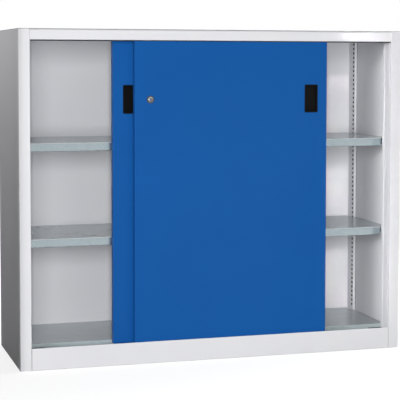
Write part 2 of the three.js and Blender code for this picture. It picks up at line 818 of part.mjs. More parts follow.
for (const [label, side] of sides) {
  carcass.add(named(`${label}_side_panel`, sidePanel(side), paint));
  carcass.add(named(`front_track_${label}_stop`, trackStop(0, side), rubber));
  carcass.add(named(`rear_track_${label}_stop`, trackStop(1, side), rubber));
  for (const end of ['front', 'rear']) {
    carcass.add(named(`${end}_${label}_post`, post(side, end), paint));
    carcass.add(named(`lower_shelf_${end}_${label}_clip`, clip(side, end, lowerShelfSlot), steel));
    carcass.add(named(`upper_shelf_${end}_${label}_clip`, clip(side, end, upperShelfSlot), steel));
  }
}

// Pieces that both doors have; the grip lies near the door's outer edge
function fitDoor(group, label, gripSide, lockX) {
  const gripX = gripSide * (halfDoor - gripInset - gripWidth / 2);
  const middle = doorThickness / 2;
  group.add(
    named(`${label}_door`, doorTray(gripX, lockX), blue),
    named(`${label}_door_stiffener`, doorStiffener(), blue),
    placed(named(`${label}_door_grip`, grip(), black), gripX, 0, handleHeight),
  );
  sides.forEach(([end], i) => {
    const x = rollerXs[i];
    group.add(
      placed(named(`${label}_door_${end}_roller_bracket`, rollerBracket(), steel), x, 0, rollerHeight),
      placed(named(`${label}_door_${end}_roller`, roller(), nylon), x, middle, rollerHeight),
      placed(named(`${label}_door_${end}_roller_axle`, axle(), steel), x, middle, rollerHeight),
      placed(named(`${label}_door_${end}_top_guide`, topGuide(), nylon), x, middle, doorTopHeight),
    );
  });
}

const lockX = lockInset - halfDoor;
fitDoor(frontDoor, 'front', 1, lockX);
fitDoor(rearDoor, 'rear', -1);
frontDoor.add(
  placed(named('lock_housing', lockHousing(), chrome), lockX, 0, handleHeight),
  placed(named('lock_nut', lockNut(), steel), lockX, 0, handleHeight),
  placed(named('lock_cylinder', lockCylinder(), chrome), lockX, 0, handleHeight),
  placed(named('lock_core', lockCore(), chrome), lockX, 0, handleHeight),
);
rearDoor.add(placed(named('keeper_plate', keeperPlate(), steel), halfDoor - keeperInset, 0, handleHeight));

export default cabinet;
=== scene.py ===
# %% [markdown]
# A steel cabinet with two sliding doors, folded from sheet and powder coated.
# The measured model of it is loaded first and stays as it is. Every sheet, grip and lock part
# that shows is then shaped again here with finer folds, in the same place, and each gets a finish
# made of nodes. All lengths are in metres, +Z is up and the front looks towards -Y.

# %% Load the measured model
import json
import math

import bmesh
import bpy
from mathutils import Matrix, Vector

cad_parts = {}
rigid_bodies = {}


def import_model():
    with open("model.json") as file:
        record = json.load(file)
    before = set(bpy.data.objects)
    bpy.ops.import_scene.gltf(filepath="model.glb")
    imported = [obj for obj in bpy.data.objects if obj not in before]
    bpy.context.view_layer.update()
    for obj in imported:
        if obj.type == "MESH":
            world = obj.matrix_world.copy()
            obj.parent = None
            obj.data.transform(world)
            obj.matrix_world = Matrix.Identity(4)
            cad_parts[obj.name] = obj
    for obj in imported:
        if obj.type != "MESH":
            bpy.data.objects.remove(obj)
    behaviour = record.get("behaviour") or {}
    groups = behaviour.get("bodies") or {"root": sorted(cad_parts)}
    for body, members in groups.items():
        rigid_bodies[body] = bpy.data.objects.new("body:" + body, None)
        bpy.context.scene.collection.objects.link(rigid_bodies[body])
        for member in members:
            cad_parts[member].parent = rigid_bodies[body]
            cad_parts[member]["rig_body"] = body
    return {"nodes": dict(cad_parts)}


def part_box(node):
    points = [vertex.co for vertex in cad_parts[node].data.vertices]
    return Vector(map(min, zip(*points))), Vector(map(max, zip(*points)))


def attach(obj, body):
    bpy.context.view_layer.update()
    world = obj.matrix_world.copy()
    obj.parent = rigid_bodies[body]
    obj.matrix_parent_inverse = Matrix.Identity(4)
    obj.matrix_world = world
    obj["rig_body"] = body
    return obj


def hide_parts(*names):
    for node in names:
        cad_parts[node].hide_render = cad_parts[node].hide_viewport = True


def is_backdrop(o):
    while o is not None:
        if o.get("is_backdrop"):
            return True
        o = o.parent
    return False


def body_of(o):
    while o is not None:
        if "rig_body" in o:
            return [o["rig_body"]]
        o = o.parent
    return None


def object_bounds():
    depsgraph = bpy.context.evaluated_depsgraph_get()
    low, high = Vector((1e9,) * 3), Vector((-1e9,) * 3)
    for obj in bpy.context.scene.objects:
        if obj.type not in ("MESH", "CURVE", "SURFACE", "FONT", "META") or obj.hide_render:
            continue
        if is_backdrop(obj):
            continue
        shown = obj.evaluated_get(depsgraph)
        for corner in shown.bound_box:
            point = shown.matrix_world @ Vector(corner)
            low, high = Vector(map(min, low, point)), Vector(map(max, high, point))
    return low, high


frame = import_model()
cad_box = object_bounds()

scene = bpy.context.scene
MM = 0.001
print("model", [round(size / MM) for size in cad_box[1] - cad_box[0]], "mm")
print(len(frame["nodes"]), "nodes")

# %% [markdown]
# The camera stands to the left and a little lower than the lid, so the front is seen almost square
# and the left side as a narrow strip. It could be aimed with a constraint, but a constraint fights
# with other views, so its turn is worked out once from two angles. The lens is shifted down a little,
# as on a view camera: the camera then tilts less, and the upright edges stay nearly parallel.

# %% Camera
FRAME_PIXELS = 400
CAMERA_YAW = math.radians(-17.33)
CAMERA_PITCH = math.radians(3.55)
CAMERA_ROLL = math.radians(0.13)
CAMERA_DISTANCE = 4.343
CAMERA_AIM = Vector((0.0821, 0, 0.6406))
FOCAL_PIXELS = 1367.7
SHIFT_PIXELS = (24, -55.1)

camera_data = bpy.data.cameras.new("camera")
camera = bpy.data.objects.new("camera", camera_data)
scene.collection.objects.link(camera)
away = Vector((
    math.sin(CAMERA_YAW) * math.cos(CAMERA_PITCH),
    -math.cos(CAMERA_YAW) * math.cos(CAMERA_PITCH),
    math.sin(CAMERA_PITCH),
))
camera.location = CAMERA_AIM + away * CAMERA_DISTANCE
camera.rotation_euler = (-away).to_track_quat("-Z", "Y").to_euler()
camera.rotation_euler.rotate_axis("Z", CAMERA_ROLL)
camera_data.lens = FOCAL_PIXELS / FRAME_PIXELS * camera_data.sensor_width
camera_data.shift_x = -SHIFT_PIXELS[0] / FRAME_PIXELS
camera_data.shift_y = SHIFT_PIXELS[1] / FRAME_PIXELS
scene.camera = camera
scene.view_settings.view_transform = "Standard"
print("camera at", [round(x, 3) for x in camera.location], "lens", round(camera_data.lens, 1), "mm")

# %% [markdown]
# Node trees are long to write by hand, so small helpers add a node and set or link its sockets by
# name. Mixing two colours has its own helper, because the mix node has several sockets of one name.

# %% Node helpers
def feed(tree, socket, value):
    """Gives a socket a value, or links another node's socket to it."""
    if isinstance(value, bpy.types.NodeSocket):
        tree.links.new(value, socket)
    else:
        socket.default_value = value


def add_node(tree, kind, **inputs):
    """A new node, its inputs named with _ for a space."""
    made = tree.nodes.new("ShaderNode" + kind)
    for name, value in inputs.items():
        feed(tree, made.inputs[name.replace("_", " ")], value)
    return made


def add_math(tree, operation, *values, kind="Math"):
    """The result of a calculation on numbers, or on vectors where the kind is VectorMath."""
    made = add_node(tree, kind)
    made.operation = operation
    for socket, value in zip(made.inputs, values):
        feed(tree, socket, value)
    return made.outputs["Value"]


def add_range(tree, value, low, high, new_low, new_high):
    """A value stretched from one range to another, and held inside it."""
    limits = {"From_Min": low, "From_Max": high, "To_Min": new_low, "To_Max": new_high}
    return add_node(tree, "MapRange", Value=value, **limits).outputs["Result"]


def mix_colours(tree, share, first, second):
    """A colour between two others, by a share from 0 to 1."""
    made = add_node(tree, "Mix")
    made.data_type = "RGBA"
    colours = [socket for socket in made.inputs if socket.type == "RGBA"]
    for socket, value in zip([made.inputs["Factor"], *colours], (share, first, second)):
        feed(tree, socket, value)
    return next(socket for socket in made.outputs if socket.type == "RGBA")


def object_place(tree):
    """The place on the piece, in its own coordinates."""
    return add_node(tree, "TexCoord").outputs["Object"]


def from_screen(red, green, blue):
    """A colour as it reads on a screen, 0 to 255, turned into the linear one that shaders use."""
    def linear(share):
        return share / 12.92 if share <= 0.04045 else ((share + 0.055) / 1.055) ** 2.4
    return (*(linear(channel / 255) for channel in (red, green, blue)), 1)


def tones(*colours):
    """The shader's colours for several screen ones."""
    return tuple(from_screen(*colour) for colour in colours)


print("a mid grey of 128 is", round(from_screen(128, 128, 128)[0], 3), "in a shader")

# %% [markdown]
# The studio is a pale floor under soft lamps. A white page behind a product is not lit white: the
# world and the floor simply look white to the camera and in reflections, while they light the object
# only a little. The floor keeps part of its lamp light, so the cabinet's soft shadow stays on it, and
# further out that part fades, so no edge of the floor shows.

# %% World and floor
WORLD_LIGHT = 0.026
FLOOR_RADIUS = 12
FLOOR_BOUNCE = 0.22
FLOOR_LIT_SHARE = 0.32
FLOOR_GLOW = 0.84
FLOOR_FADE = (1.2, 2.4)
FLOOR_SIDES = 96
WHITE = (1, 1, 1, 1)
BLACK = (0, 0, 0, 1)


def seen_directly(tree):
    """1 for rays from the camera, from a mirror or through glass, else 0."""
    path = add_node(tree, "LightPath").outputs
    either = add_math(tree, "MAXIMUM", path["Is Camera Ray"], path["Is Glossy Ray"])
    return add_math(tree, "MAXIMUM", either, path["Is Transmission Ray"])


def stage_piece(name, bm):
    """A bmesh as an object of the studio, which is no part of the cabinet."""
    mesh = bpy.data.meshes.new(name)
    bm.to_mesh(mesh)
    bm.free()
    made = bpy.data.objects.new(name, mesh)
    scene.collection.objects.link(made)
    made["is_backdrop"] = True
    return made


world = bpy.data.worlds.new("studio")
scene.world = world
world.use_nodes = True
tree = world.node_tree
background = tree.nodes["Background"].inputs
background["Color"].default_value = WHITE
feed(tree, background["Strength"], add_range(tree, seen_directly(tree), 0, 1, WORLD_LIGHT, 1))

bm = bmesh.new()
bmesh.ops.create_circle(bm, cap_ends=True, segments=FLOOR_SIDES, radius=FLOOR_RADIUS)
floor = stage_piece("floor", bm)

floor_paint = bpy.data.materials.new("pale floor")
floor_paint.use_nodes = True
tree = floor_paint.node_tree
tree.nodes.clear()
reach = add_math(tree, "LENGTH", object_place(tree), kind="VectorMath")
nearby = add_range(tree, reach, *FLOOR_FADE, 1, 0)
seen = seen_directly(tree)
lit_share = add_math(tree, "MULTIPLY", nearby, FLOOR_LIT_SHARE)
lit = add_node(tree, "BsdfDiffuse", Color=mix_colours(tree, lit_share, BLACK, WHITE))
bounce = mix_colours(tree, seen, (FLOOR_BOUNCE,) * 3 + (1,), WHITE)
plain = add_node(tree, "BsdfDiffuse", Color=bounce)
glow = add_node(tree, "Emission", Strength=add_range(tree, nearby, 0, 1, 1, FLOOR_GLOW))
glowing = add_node(tree, "AddShader")
tree.links.new(lit.outputs["BSDF"], glowing.inputs[0])
tree.links.new(glow.outputs["Emission"], glowing.inputs[1])
chosen = add_node(tree, "MixShader", Fac=seen)
tree.links.new(plain.outputs["BSDF"], chosen.inputs[1])
tree.links.new(glowing.outputs["Shader"], chosen.inputs[2])
add_node(tree, "OutputMaterial", Surface=chosen.outputs["Shader"])
floor.data.materials.append(floor_paint)
print("floor", floor.dimensions[:2], "world light", WORLD_LIGHT)

# %% [markdown]
# Soft boxes light the cabinet. A tall narrow one stands right at the camera with a wider, weaker one
# beside it, so the doors' shade in the bays falls mostly where the camera can't see it. A far one at
# the left lights the jambs, a near one the plinth's right end, one above the lid, and a small one
# fades down the outer left side. Two narrow beams reach the right jamb and the right bay's back. A
# black card in front of the left side's plane, which only shadow rays see, keeps the main light off
# that side, as a photographer's flag would. The boxes at the right and the back serve other views.

# %% Lamps
def soft_box(name, place, aim, size, power, in_mirrors=False, spread=180):
    """A rectangular lamp at a place, turned towards a point. A small spread makes it a beam."""
    lamp = bpy.data.lights.new(name, "AREA")
    lamp.shape = "RECTANGLE"
    lamp.size, lamp.size_y = size
    lamp.energy = power
    lamp.spread = math.radians(spread)
    holder = bpy.data.objects.new(name, lamp)
    holder.location = place
    holder.rotation_euler = (Vector(aim) - Vector(place)).to_track_quat("-Z", "Y").to_euler()
    holder.visible_camera = False
    holder.visible_glossy = in_mirrors
    scene.collection.objects.link(holder)
    return holder


lamps = [
    soft_box("main_box", (-1.19, -4.2, 0.95), (0, 0, 0.55), (0.25, 1.6), 87),
    soft_box("side_box", (-1.63, -4.2, 0.95), (0, 0, 0.55), (0.6, 1.6), 32.5),
    soft_box("far_box", (-7.2, -4.6, 1.7), (0, 0, 0.55), (3, 2), 224, in_mirrors=True),
    soft_box("near_box", (0.5, -1.7, 0.45), (0.5, 0, 0.35), (1.4, 0.9), 4.8),
    soft_box("jamb_strip", (-0.876, -1.556, 1.07), (0.49, -0.19, 0.55), (0.1, 0.85), 0.13, spread=5),
    soft_box("bay_strip", (0.2, -3, 1.3), (0.495, 0, 0.5), (0.15, 0.85), 0.1, spread=1.5),
    soft_box("top_box", (0.2, 0.4, 2.8), (0.2, 0.3, 1), (1.2, 0.4), 5),
    soft_box("left_box", (-1.4, 0.1, 1.32), (-0.6, 0.1, 1.32), (0.5, 0.4), 3.5),
    soft_box("right_box", (3.2, 0.6, 1.6), (0.6, 0, 0.5), (1.4, 1.4), 75),
    soft_box("back_box", (0.4, 3.4, 1.7), (0, 0.2, 0.5), (1.6, 1.4), 105),
]

CARD_WIDTH = 1
CARD_HEIGHT = 1.2
CARD_GAP = 0.006
bm = bmesh.new()
bmesh.ops.create_grid(bm, x_segments=1, y_segments=1, size=0.5)
bmesh.ops.scale(bm, vec=(CARD_WIDTH, CARD_HEIGHT, 1), verts=bm.verts)
card = stage_piece("black_card", bm)
card.rotation_euler = (math.radians(90), 0, 0)
card_x = cad_box[0].x - CARD_GAP - CARD_WIDTH / 2
card.location = (card_x, cad_box[0].y - 2 * CARD_GAP, CARD_HEIGHT / 2)
for ray in ("camera", "diffuse", "glossy", "transmission"):
    setattr(card, "visible_" + ray, False)
print("lamps", [lamp.name for lamp in lamps], "and", card.name)

# %% [markdown]
# Powder coat is a thick paint melted on in an oven. Close up it has a fine orange peel, from a step
# away its tone wanders a little, and on a fold it pulls thin. These are effects that both paints
# share, so each is a node group, built once. The group only puts out masks and heights; the shader
# stays in each material. A noise rarely leaves the middle of its range, so it is stretched from there.

# %% Shared effects of the paints
NOISE_SPAN = (0.3, 0.7)
FOLD_SPAN = (0.995, 0.85)


def new_group(name, inputs, outputs):
    """An empty node group with float sockets, its input and output nodes made."""
    group = bpy.data.node_groups.new(name, "ShaderNodeTree")
    for socket, value in inputs.items():
        made = group.interface.new_socket(socket, in_out="INPUT", socket_type="NodeSocketFloat")
        made.default_value = value
    for socket in outputs:
        group.interface.new_socket(socket, in_out="OUTPUT", socket_type="NodeSocketFloat")
    return group, group.nodes.new("NodeGroupInput"), group.nodes.new("NodeGroupOutput")


def object_noise(tree, scale, detail=2.0, stretch=(1, 1, 1)):
    """Noise fixed to the piece, its features 1 / scale metres wide, and drawn out along an axis."""
    place = add_node(tree, "Mapping", Vector=object_place(tree), Scale=stretch).outputs["Vector"]
    return add_node(tree, "TexNoise", Vector=place, Scale=scale, Detail=detail).outputs["Fac"]


coat_inputs = {"Peel": 900, "Cloud": 3.5}
coat_group, coat_in, coat_out = new_group("Powder coat", coat_inputs, ["Height", "Tone"])
feed(coat_group, coat_out.inputs["Height"], object_noise(coat_group, coat_in.outputs["Peel"], detail=1.5))
feed(coat_group, coat_out.inputs["Tone"], object_noise(coat_group, coat_in.outputs["Cloud"], detail=3))

edge_group, edge_in, edge_out = new_group("Thin on folds", {"Radius": 2 * MM}, ["Mask"])
rounded = add_node(edge_group, "Bevel", Radius=edge_in.outputs["Radius"]).outputs["Normal"]
true_normal = add_node(edge_group, "NewGeometry").outputs["Normal"]
likeness = add_math(edge_group, "DOT_PRODUCT", rounded, true_normal, kind="VectorMath")
feed(edge_group, edge_out.inputs["Mask"], add_range(edge_group, likeness, *FOLD_SPAN, 0, 1))
print("groups", coat_group.name, "and", edge_group.name)

# %% [markdown]
# A finish is one Principled shader whose colour, roughness and bump come from those groups. The two
# paints differ only in colour and gloss, so one function makes both. The blue has little gloss of its
# own, because a strong one would lay a pale veil over so deep a colour. A mask can paint shade into the
# coat as a dark grey: behind the slots of the posts, in the seams at the plinth's ends and in a fine line
# along the lid's cut edge.

# %% Paints
def new_finish(name):
    """An empty material, its tree and the inputs of its Principled shader."""
    made = bpy.data.materials.new(name)
    made.use_nodes = True
    return made, made.node_tree, made.node_tree.nodes["Principled BSDF"].inputs


def place_group(tree, group, **values):
    """A node group placed in a material with its own values."""
    made = add_node(tree, "Group")
    made.node_tree = group
    for name, value in values.items():
        made.inputs[name].default_value = value
    return made.outputs


def around(tree, noise, middle, drift):
    """A noise stretched to a little less and more than a value."""
    return add_range(tree, noise, *NOISE_SPAN, middle - drift, middle + drift)


def add_bump(tree, shader, height, depth):
    """Relief of a depth in metres."""
    bump = add_node(tree, "Bump", Height=height, Distance=depth, Strength=1)
    feed(tree, shader["Normal"], bump.outputs["Normal"])


PEEL_DEPTH = 0.03 * MM
GLOSS_DRIFT = 0.04
# Painted shade: a dark grey that stands in for the shade in the posts' pockets, in the plinth's seams and
# along the lid's edge.
PAINTED_SHADE_GREY = from_screen(52, 52, 56)
POCKET_WALL = 1.2 * MM
POCKET_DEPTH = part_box("rear_right_post")[1].x - POCKET_WALL
SHADE_FADE = 0.1 * MM


def beyond(limit):
    """Painted shade further out to either side than a limit."""
    def mask(tree, place):
        sideways = add_math(tree, "ABSOLUTE", place["X"])
        return add_range(tree, sideways, limit - SHADE_FADE, limit, 0, 1)
    return mask


def between(low, high):
    """Painted shade in a band of heights."""
    def mask(tree, place):
        above = add_range(tree, place["Z"], low - SHADE_FADE, low, 0, 1)
        below = add_range(tree, place["Z"], high, high + SHADE_FADE, 1, 0)
        return add_math(tree, "MULTIPLY", above, below)
    return mask


def powder_coat(name, colours, gloss, roughness, painted_shade=None):
    """Sprayed paint: a wandering tone, lighter on the folds, with a fine orange peel, and painted shade
    where a mask is given.
    """
    made, tree, shader = new_finish(name)
    coat = place_group(tree, coat_group)
    folds = place_group(tree, edge_group)
    colour, deep, worn = colours
    tone = mix_colours(tree, add_range(tree, coat["Tone"], *NOISE_SPAN, 0, 1), deep, colour)
    coloured = mix_colours(tree, folds["Mask"], tone, worn)
    if painted_shade:
        place = add_node(tree, "SeparateXYZ", Vector=object_place(tree)).outputs
        coloured = mix_colours(tree, painted_shade(tree, place), coloured, PAINTED_SHADE_GREY)
    feed(tree, shader["Base Color"], coloured)
    feed(tree, shader["Roughness"], around(tree, coat["Tone"], roughness, GLOSS_DRIFT))
    shader["Specular IOR Level"].default_value = gloss
    add_bump(tree, shader, coat["Height"], PEEL_DEPTH)
    return made


GREY = tones((231, 231, 234), (227, 227, 231), (238, 238, 240))
BLUE = tones((22, 88, 160), (20, 85, 156), (40, 104, 178))
GREY_COAT = {"colours": GREY, "gloss": 0.02, "roughness": 0.5}
carcass_paint = powder_coat("carcass paint", **GREY_COAT)
# The posts' paint turns dark grey beyond the pocket's face, as painted shade in the pocket that each slot
# shows.
post_paint = powder_coat("post paint", **GREY_COAT, painted_shade=beyond(POCKET_DEPTH))
door_paint = powder_coat("door paint", BLUE, gloss=0.12, roughness=0.45)
print("paints", carcass_paint.name, "and", door_paint.name)

# %% [markdown]
# The shelves and tracks are galvanised: zinc freezes on the steel in flat crystals, each a slightly
# different grey, which is called spangle. Cells of a Voronoi texture give each crystal its own tone.
# Rolling and handling leave faint streaks along the sheet over them. The surface's own normal makes two
# masks: the faces that look up get a thin pale layer, partly dust and partly painted sheen, and the folds
# just below them get a painted highlight. The upper track's zinc is painted near black, as painted shade
# under the rail, and that pale layer lightens its upward faces too.

# %% Galvanised and zinc plated steel
CRYSTAL_SHARE = 0.45
STREAK_SHARE = 0.55
STREAK_STRETCH = (0.12, 1, 1)
STREAK_DEPTH = 0.0015 * MM
CRYSTAL_DRIFT = 0.015
# A pale layer on faces that look up, partly dust and partly painted sheen.
THINNEST_DUST_AND_SHEEN = 0.85
DUST_AND_SHEEN_SHARE = 0.45
DUST_AND_SHEEN_COLOUR = from_screen(214, 216, 217)
DUST_AND_SHEEN_TILT = (0.7, 1)
# A painted highlight on the folds just below faces that look up.
PAINTED_FOLD_HIGHLIGHT = from_screen(232, 238, 239)
FOLD_HIGHLIGHT_TILT = (0.1, 0.35)
NO_FOLD_HIGHLIGHT_TILT = (0.98, 0.85)

zinc_inputs = {"Spangle": 90, "Streak": 14, "Drift": 5}
zinc_group, zinc_in, zinc_out = new_group("Zinc", zinc_inputs, ["Crystal", "Streaks", "Cover"])
spangle_size = zinc_in.outputs["Spangle"]
crystals = add_node(zinc_group, "TexVoronoi", Vector=object_place(zinc_group), Scale=spangle_size)
crystal_tone = add_node(zinc_group, "SeparateColor", Color=crystals.outputs["Color"]).outputs["Red"]
feed(zinc_group, zinc_out.inputs["Crystal"], crystal_tone)
streaks = object_noise(zinc_group, zinc_in.outputs["Streak"], 4, stretch=STREAK_STRETCH)
feed(zinc_group, zinc_out.inputs["Streaks"], streaks)
drift = object_noise(zinc_group, zinc_in.outputs["Drift"])
feed(zinc_group, zinc_out.inputs["Cover"], add_range(zinc_group, drift, *NOISE_SPAN, THINNEST_DUST_AND_SHEEN, 1))


def zinc_coat(name, colours, roughness, spangle, metallic, fold_highlight=0):
    """Zinc on steel: crystals of several greys under long faint streaks, with dust and painted sheen on
    upward faces and a painted highlight on the folds.
    """
    made, tree, shader = new_finish(name)
    zinc = place_group(tree, zinc_group, Spangle=spangle)
    light, dark = colours
    crystal_share = add_math(tree, "MULTIPLY", zinc["Crystal"], CRYSTAL_SHARE)
    streak_share = add_range(tree, zinc["Streaks"], *NOISE_SPAN, 0, STREAK_SHARE)
    zinc_tone = mix_colours(tree, add_math(tree, "ADD", crystal_share, streak_share), dark, light)
    sheet_normal = add_node(tree, "TexCoord").outputs["Normal"]
    tilt = add_node(tree, "SeparateXYZ", Vector=sheet_normal).outputs["Z"]
    # Faces that look up get the pale layer, partly dust and partly painted sheen.
    dust_and_sheen = add_math(tree, "MULTIPLY", add_range(tree, tilt, *DUST_AND_SHEEN_TILT, 0, DUST_AND_SHEEN_SHARE), zinc["Cover"])
    # The folds just below the upward faces get a painted highlight.
    turning_up = add_range(tree, tilt, *FOLD_HIGHLIGHT_TILT, 0, fold_highlight)
    fold_highlight_mask = add_math(tree, "MULTIPLY", turning_up, add_range(tree, tilt, *NO_FOLD_HIGHLIGHT_TILT, 0, 1))
    with_dust_and_sheen = mix_colours(tree, dust_and_sheen, zinc_tone, DUST_AND_SHEEN_COLOUR)
    feed(tree, shader["Base Color"], mix_colours(tree, fold_highlight_mask, with_dust_and_sheen, PAINTED_FOLD_HIGHLIGHT))
    limits = (roughness - CRYSTAL_DRIFT, roughness + CRYSTAL_DRIFT)
    feed(tree, shader["Roughness"], add_range(tree, zinc["Crystal"], 0, 1, *limits))
    matt = add_math(tree, "MAXIMUM", dust_and_sheen, fold_highlight_mask)
    feed(tree, shader["Metallic"], add_range(tree, matt, 0, 1, metallic, 0))
    add_bump(tree, shader, zinc["Streaks"], STREAK_DEPTH)
    return made


SHELF_ZINC = tones((168, 181, 185), (160, 173, 178))
TRACK_ZINC = tones((186, 197, 200), (172, 184, 188))
SMALL_ZINC = tones((190, 194, 200), (160, 165, 172))
# Near black zinc: painted shade for the upper track under the rail.
PAINTED_SHADE_ZINC = tones((34, 37, 42), (24, 26, 30))
galvanised = zinc_coat("galvanised", SHELF_ZINC, 0.24, spangle=60, metallic=0.85, fold_highlight=0.7)
dull_zinc = zinc_coat("dull galvanised", TRACK_ZINC, 0.5, spangle=90, metallic=0.1)
zinc_plated = zinc_coat("zinc plated", SMALL_ZINC, 0.32, spangle=260, metallic=1)
shade_dark_zinc = zinc_coat("zinc painted dark as shade", PAINTED_SHADE_ZINC, 0.5, spangle=90, metallic=0)
print("zinc finishes", galvanised.name, dull_zinc.name, zinc_plated.name, shade_dark_zinc.name)

# %% [markdown]
# The lock is chromed brass with fine turning lines round its axis, the grips are black plastic with a
# moulded grain, the rollers and guides white nylon, the stops rubber. Rings come from the distance to the
# lock's axis, grain from small Voronoi cells. Chrome mirrors the whole studio, which looks white in
# reflections, so dark reflections are painted into its colour: at the flange's edge, on the core and on
# one side.

# %% Chrome, plastic, nylon and rubber
LOCK_AXIS = sum(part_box("lock_core"), Vector()) / 2
MOULDED_GLOSS = 0.12
MOULDED_CLOUD = 25
MOULDED_WEAR = 60
MOULDED_DRIFT = 0.05
RING_SCALE = 420
RING_WANDER = 0.6
RING_DEPTH = 0.004 * MM
RING_ROUGHNESS = (0.12, 0.2)
CHROME = tones((196, 198, 203), (212, 214, 218))
# Dark reflections painted into the chrome's colour: at the flange's edge, on the core and on the lower
# right side.
PAINTED_DARK_REFLECTION = from_screen(88, 89, 94)
FLANGE_DARK_REFLECTION = (7 * MM, 9 * MM, 0, 1)
CORE_DARK_REFLECTION = (4.6 * MM, 5.6 * MM, 0.7, 0)
SIDE_DARK_REFLECTION = (-2 * MM, 3 * MM, 0, 0.75)
DARK_REFLECTION_SIDE = Vector((0.8, 0, -0.6))


def chrome_finish():
    """Polished metal with fine rings round the lock's axis, and dark reflections painted into its colour.
    """
    made, tree, shader = new_finish("lock chrome")
    to_axis = (-LOCK_AXIS.x, 0, -LOCK_AXIS.z)
    mapping = add_node(tree, "Mapping", Vector=object_place(tree), Location=to_axis, Scale=(1, 0, 1))
    centred = mapping.outputs["Vector"]
    wave = add_node(tree, "TexWave", Vector=centred, Scale=RING_SCALE, Distortion=RING_WANDER)
    wave.wave_type = "RINGS"
    wave.rings_direction = "SPHERICAL"
    rings = wave.outputs["Fac"]
    radius = add_math(tree, "LENGTH", centred, kind="VectorMath")
    # Dark reflections are painted into the colour: at the flange's edge, on the core and on the lower
    # right side.
    sideways = add_math(tree, "DOT_PRODUCT", centred, DARK_REFLECTION_SIDE, kind="VectorMath")
    on_flange = add_range(tree, radius, *FLANGE_DARK_REFLECTION)
    dark_reflection_share = add_math(tree, "MAXIMUM", on_flange, add_range(tree, radius, *CORE_DARK_REFLECTION))
    dark_reflection_share = add_math(tree, "MAXIMUM", dark_reflection_share, add_range(tree, sideways, *SIDE_DARK_REFLECTION))
    bright = mix_colours(tree, rings, *CHROME)
    feed(tree, shader["Base Color"], mix_colours(tree, dark_reflection_share, bright, PAINTED_DARK_REFLECTION))
    feed(tree, shader["Roughness"], add_range(tree, rings, 0, 1, *RING_ROUGHNESS))
    shader["Metallic"].default_value = 1
    add_bump(tree, shader, rings, RING_DEPTH)
    return made


def moulded(name, colours, roughness, grain, depth):
    """Moulded plastic or rubber with a fine grain."""
    made, tree, shader = new_finish(name)
    shader["Specular IOR Level"].default_value = MOULDED_GLOSS
    cells = add_node(tree, "TexVoronoi", Vector=object_place(tree), Scale=grain)
    colour, deep = colours
    cloud = object_noise(tree, MOULDED_CLOUD, detail=3)
    feed(tree, shader["Base Color"], mix_colours(tree, cloud, deep, colour))
    wear = object_noise(tree, MOULDED_WEAR)
    feed(tree, shader["Roughness"], around(tree, wear, roughness, MOULDED_DRIFT))
    add_bump(tree, shader, cells.outputs["Distance"], depth)
    return made


PLASTIC = tones((14, 14, 14), (9, 9, 9))
NYLON = tones((228, 226, 218), (216, 214, 205))
RUBBER = tones((34, 34, 35), (26, 26, 27))
lock_chrome = chrome_finish()
grip_plastic = moulded("grip plastic", PLASTIC, 0.6, grain=1500, depth=0.05 * MM)
guide_nylon = moulded("guide nylon", NYLON, 0.5, grain=700, depth=0.02 * MM)
stop_rubber = moulded("stop rubber", RUBBER, 0.8, grain=900, depth=0.06 * MM)
print("small finishes", lock_chrome.name, grip_plastic.name, guide_nylon.name, stop_rubber.name)

# %% [markdown]
# A finished piece stands for one node of the measured model. It rides on the same body and takes the
# finish of the same material slot, which the node's plain material is named after. The steps are always
# the same: weld, mark the sharp edges, smooth the rest, and let a Weighted Normal modifier keep the large
# faces flat beside their round folds.

# %% Turning a bmesh into a piece
SHARP_ANGLE = math.radians(32)
WELD_DISTANCE = 0.001 * MM
FINISHES = {
    "carcass_paint": carcass_paint, "door_paint": door_paint, "galvanised": galvanised,
    "zinc_plated": zinc_plated, "lock_chrome": lock_chrome, "grip_plastic": grip_plastic,
    "guide_nylon": guide_nylon, "stop_rubber": stop_rubber,
}


def finish_piece(bm, name, node_name, finish=None):
    """Puts a mesh in its node's place, with the finish of its slot or a variant of that."""
    node = frame["nodes"][node_name]
    slot = node.material_slots[0].material.name
    bmesh.ops.remove_doubles(bm, verts=bm.verts, dist=WELD_DISTANCE)
    if bm.calc_volume(signed=True) < 0:
        bmesh.ops.reverse_faces(bm, faces=bm.faces)
    for face in bm.faces:
        face.smooth = True
    for edge in bm.edges:
        edge.smooth = edge.calc_face_angle(math.pi) < SHARP_ANGLE
    open_edges = sum(not edge.is_manifold for edge in bm.edges)
    mesh = bpy.data.meshes.new(name)
    bm.to_mesh(mesh)
    bm.free()
    mesh.materials.append(finish or FINISHES[slot])
    piece = bpy.data.objects.new(name, mesh)
    scene.collection.objects.link(piece)
    weighted = piece.modifiers.new("flat beside folds", "WEIGHTED_NORMAL")
    weighted.keep_sharp = True
    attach(piece, body_of(node)[0])
    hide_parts(node_name)
    size = [round(length / MM, 1) for length in piece.dimensions]
    print(name, size, "mm,", len(mesh.polygons), "faces,", open_edges, "open edges")


# %% [markdown]
# Most of the cabinet is folded sheet of one thickness. On a press brake a flat blank is bent along
# straight lines, so it is built here in the same order: a path of a few points is drawn out into a
# strip, its fold lines are rounded with a bevel, and only then does the strip get its thickness.
# The path runs along the sheet's outer face with the metal on its left, and a fold that turns the
# other way gets the smaller inside radius.

# %% Folding sheet
SHEET = 1.2 * MM
BEND = 2.4 * MM
BEND_STEPS = 5


def on_axis(along, u, v, w):
    """A point of a section, (y, z) for a run along x or (x, y) for one along z."""
    return Vector((w, u, v)) if along == "x" else Vector((u, v, w))


def round_edges(bm, edges, radius, steps):
    """Rounds edges to a radius."""
    bmesh.ops.bevel(
        bm, geom=edges, offset=radius, offset_type="OFFSET", segments=steps, profile=0.5,
        affect="EDGES", material=-1,
    )


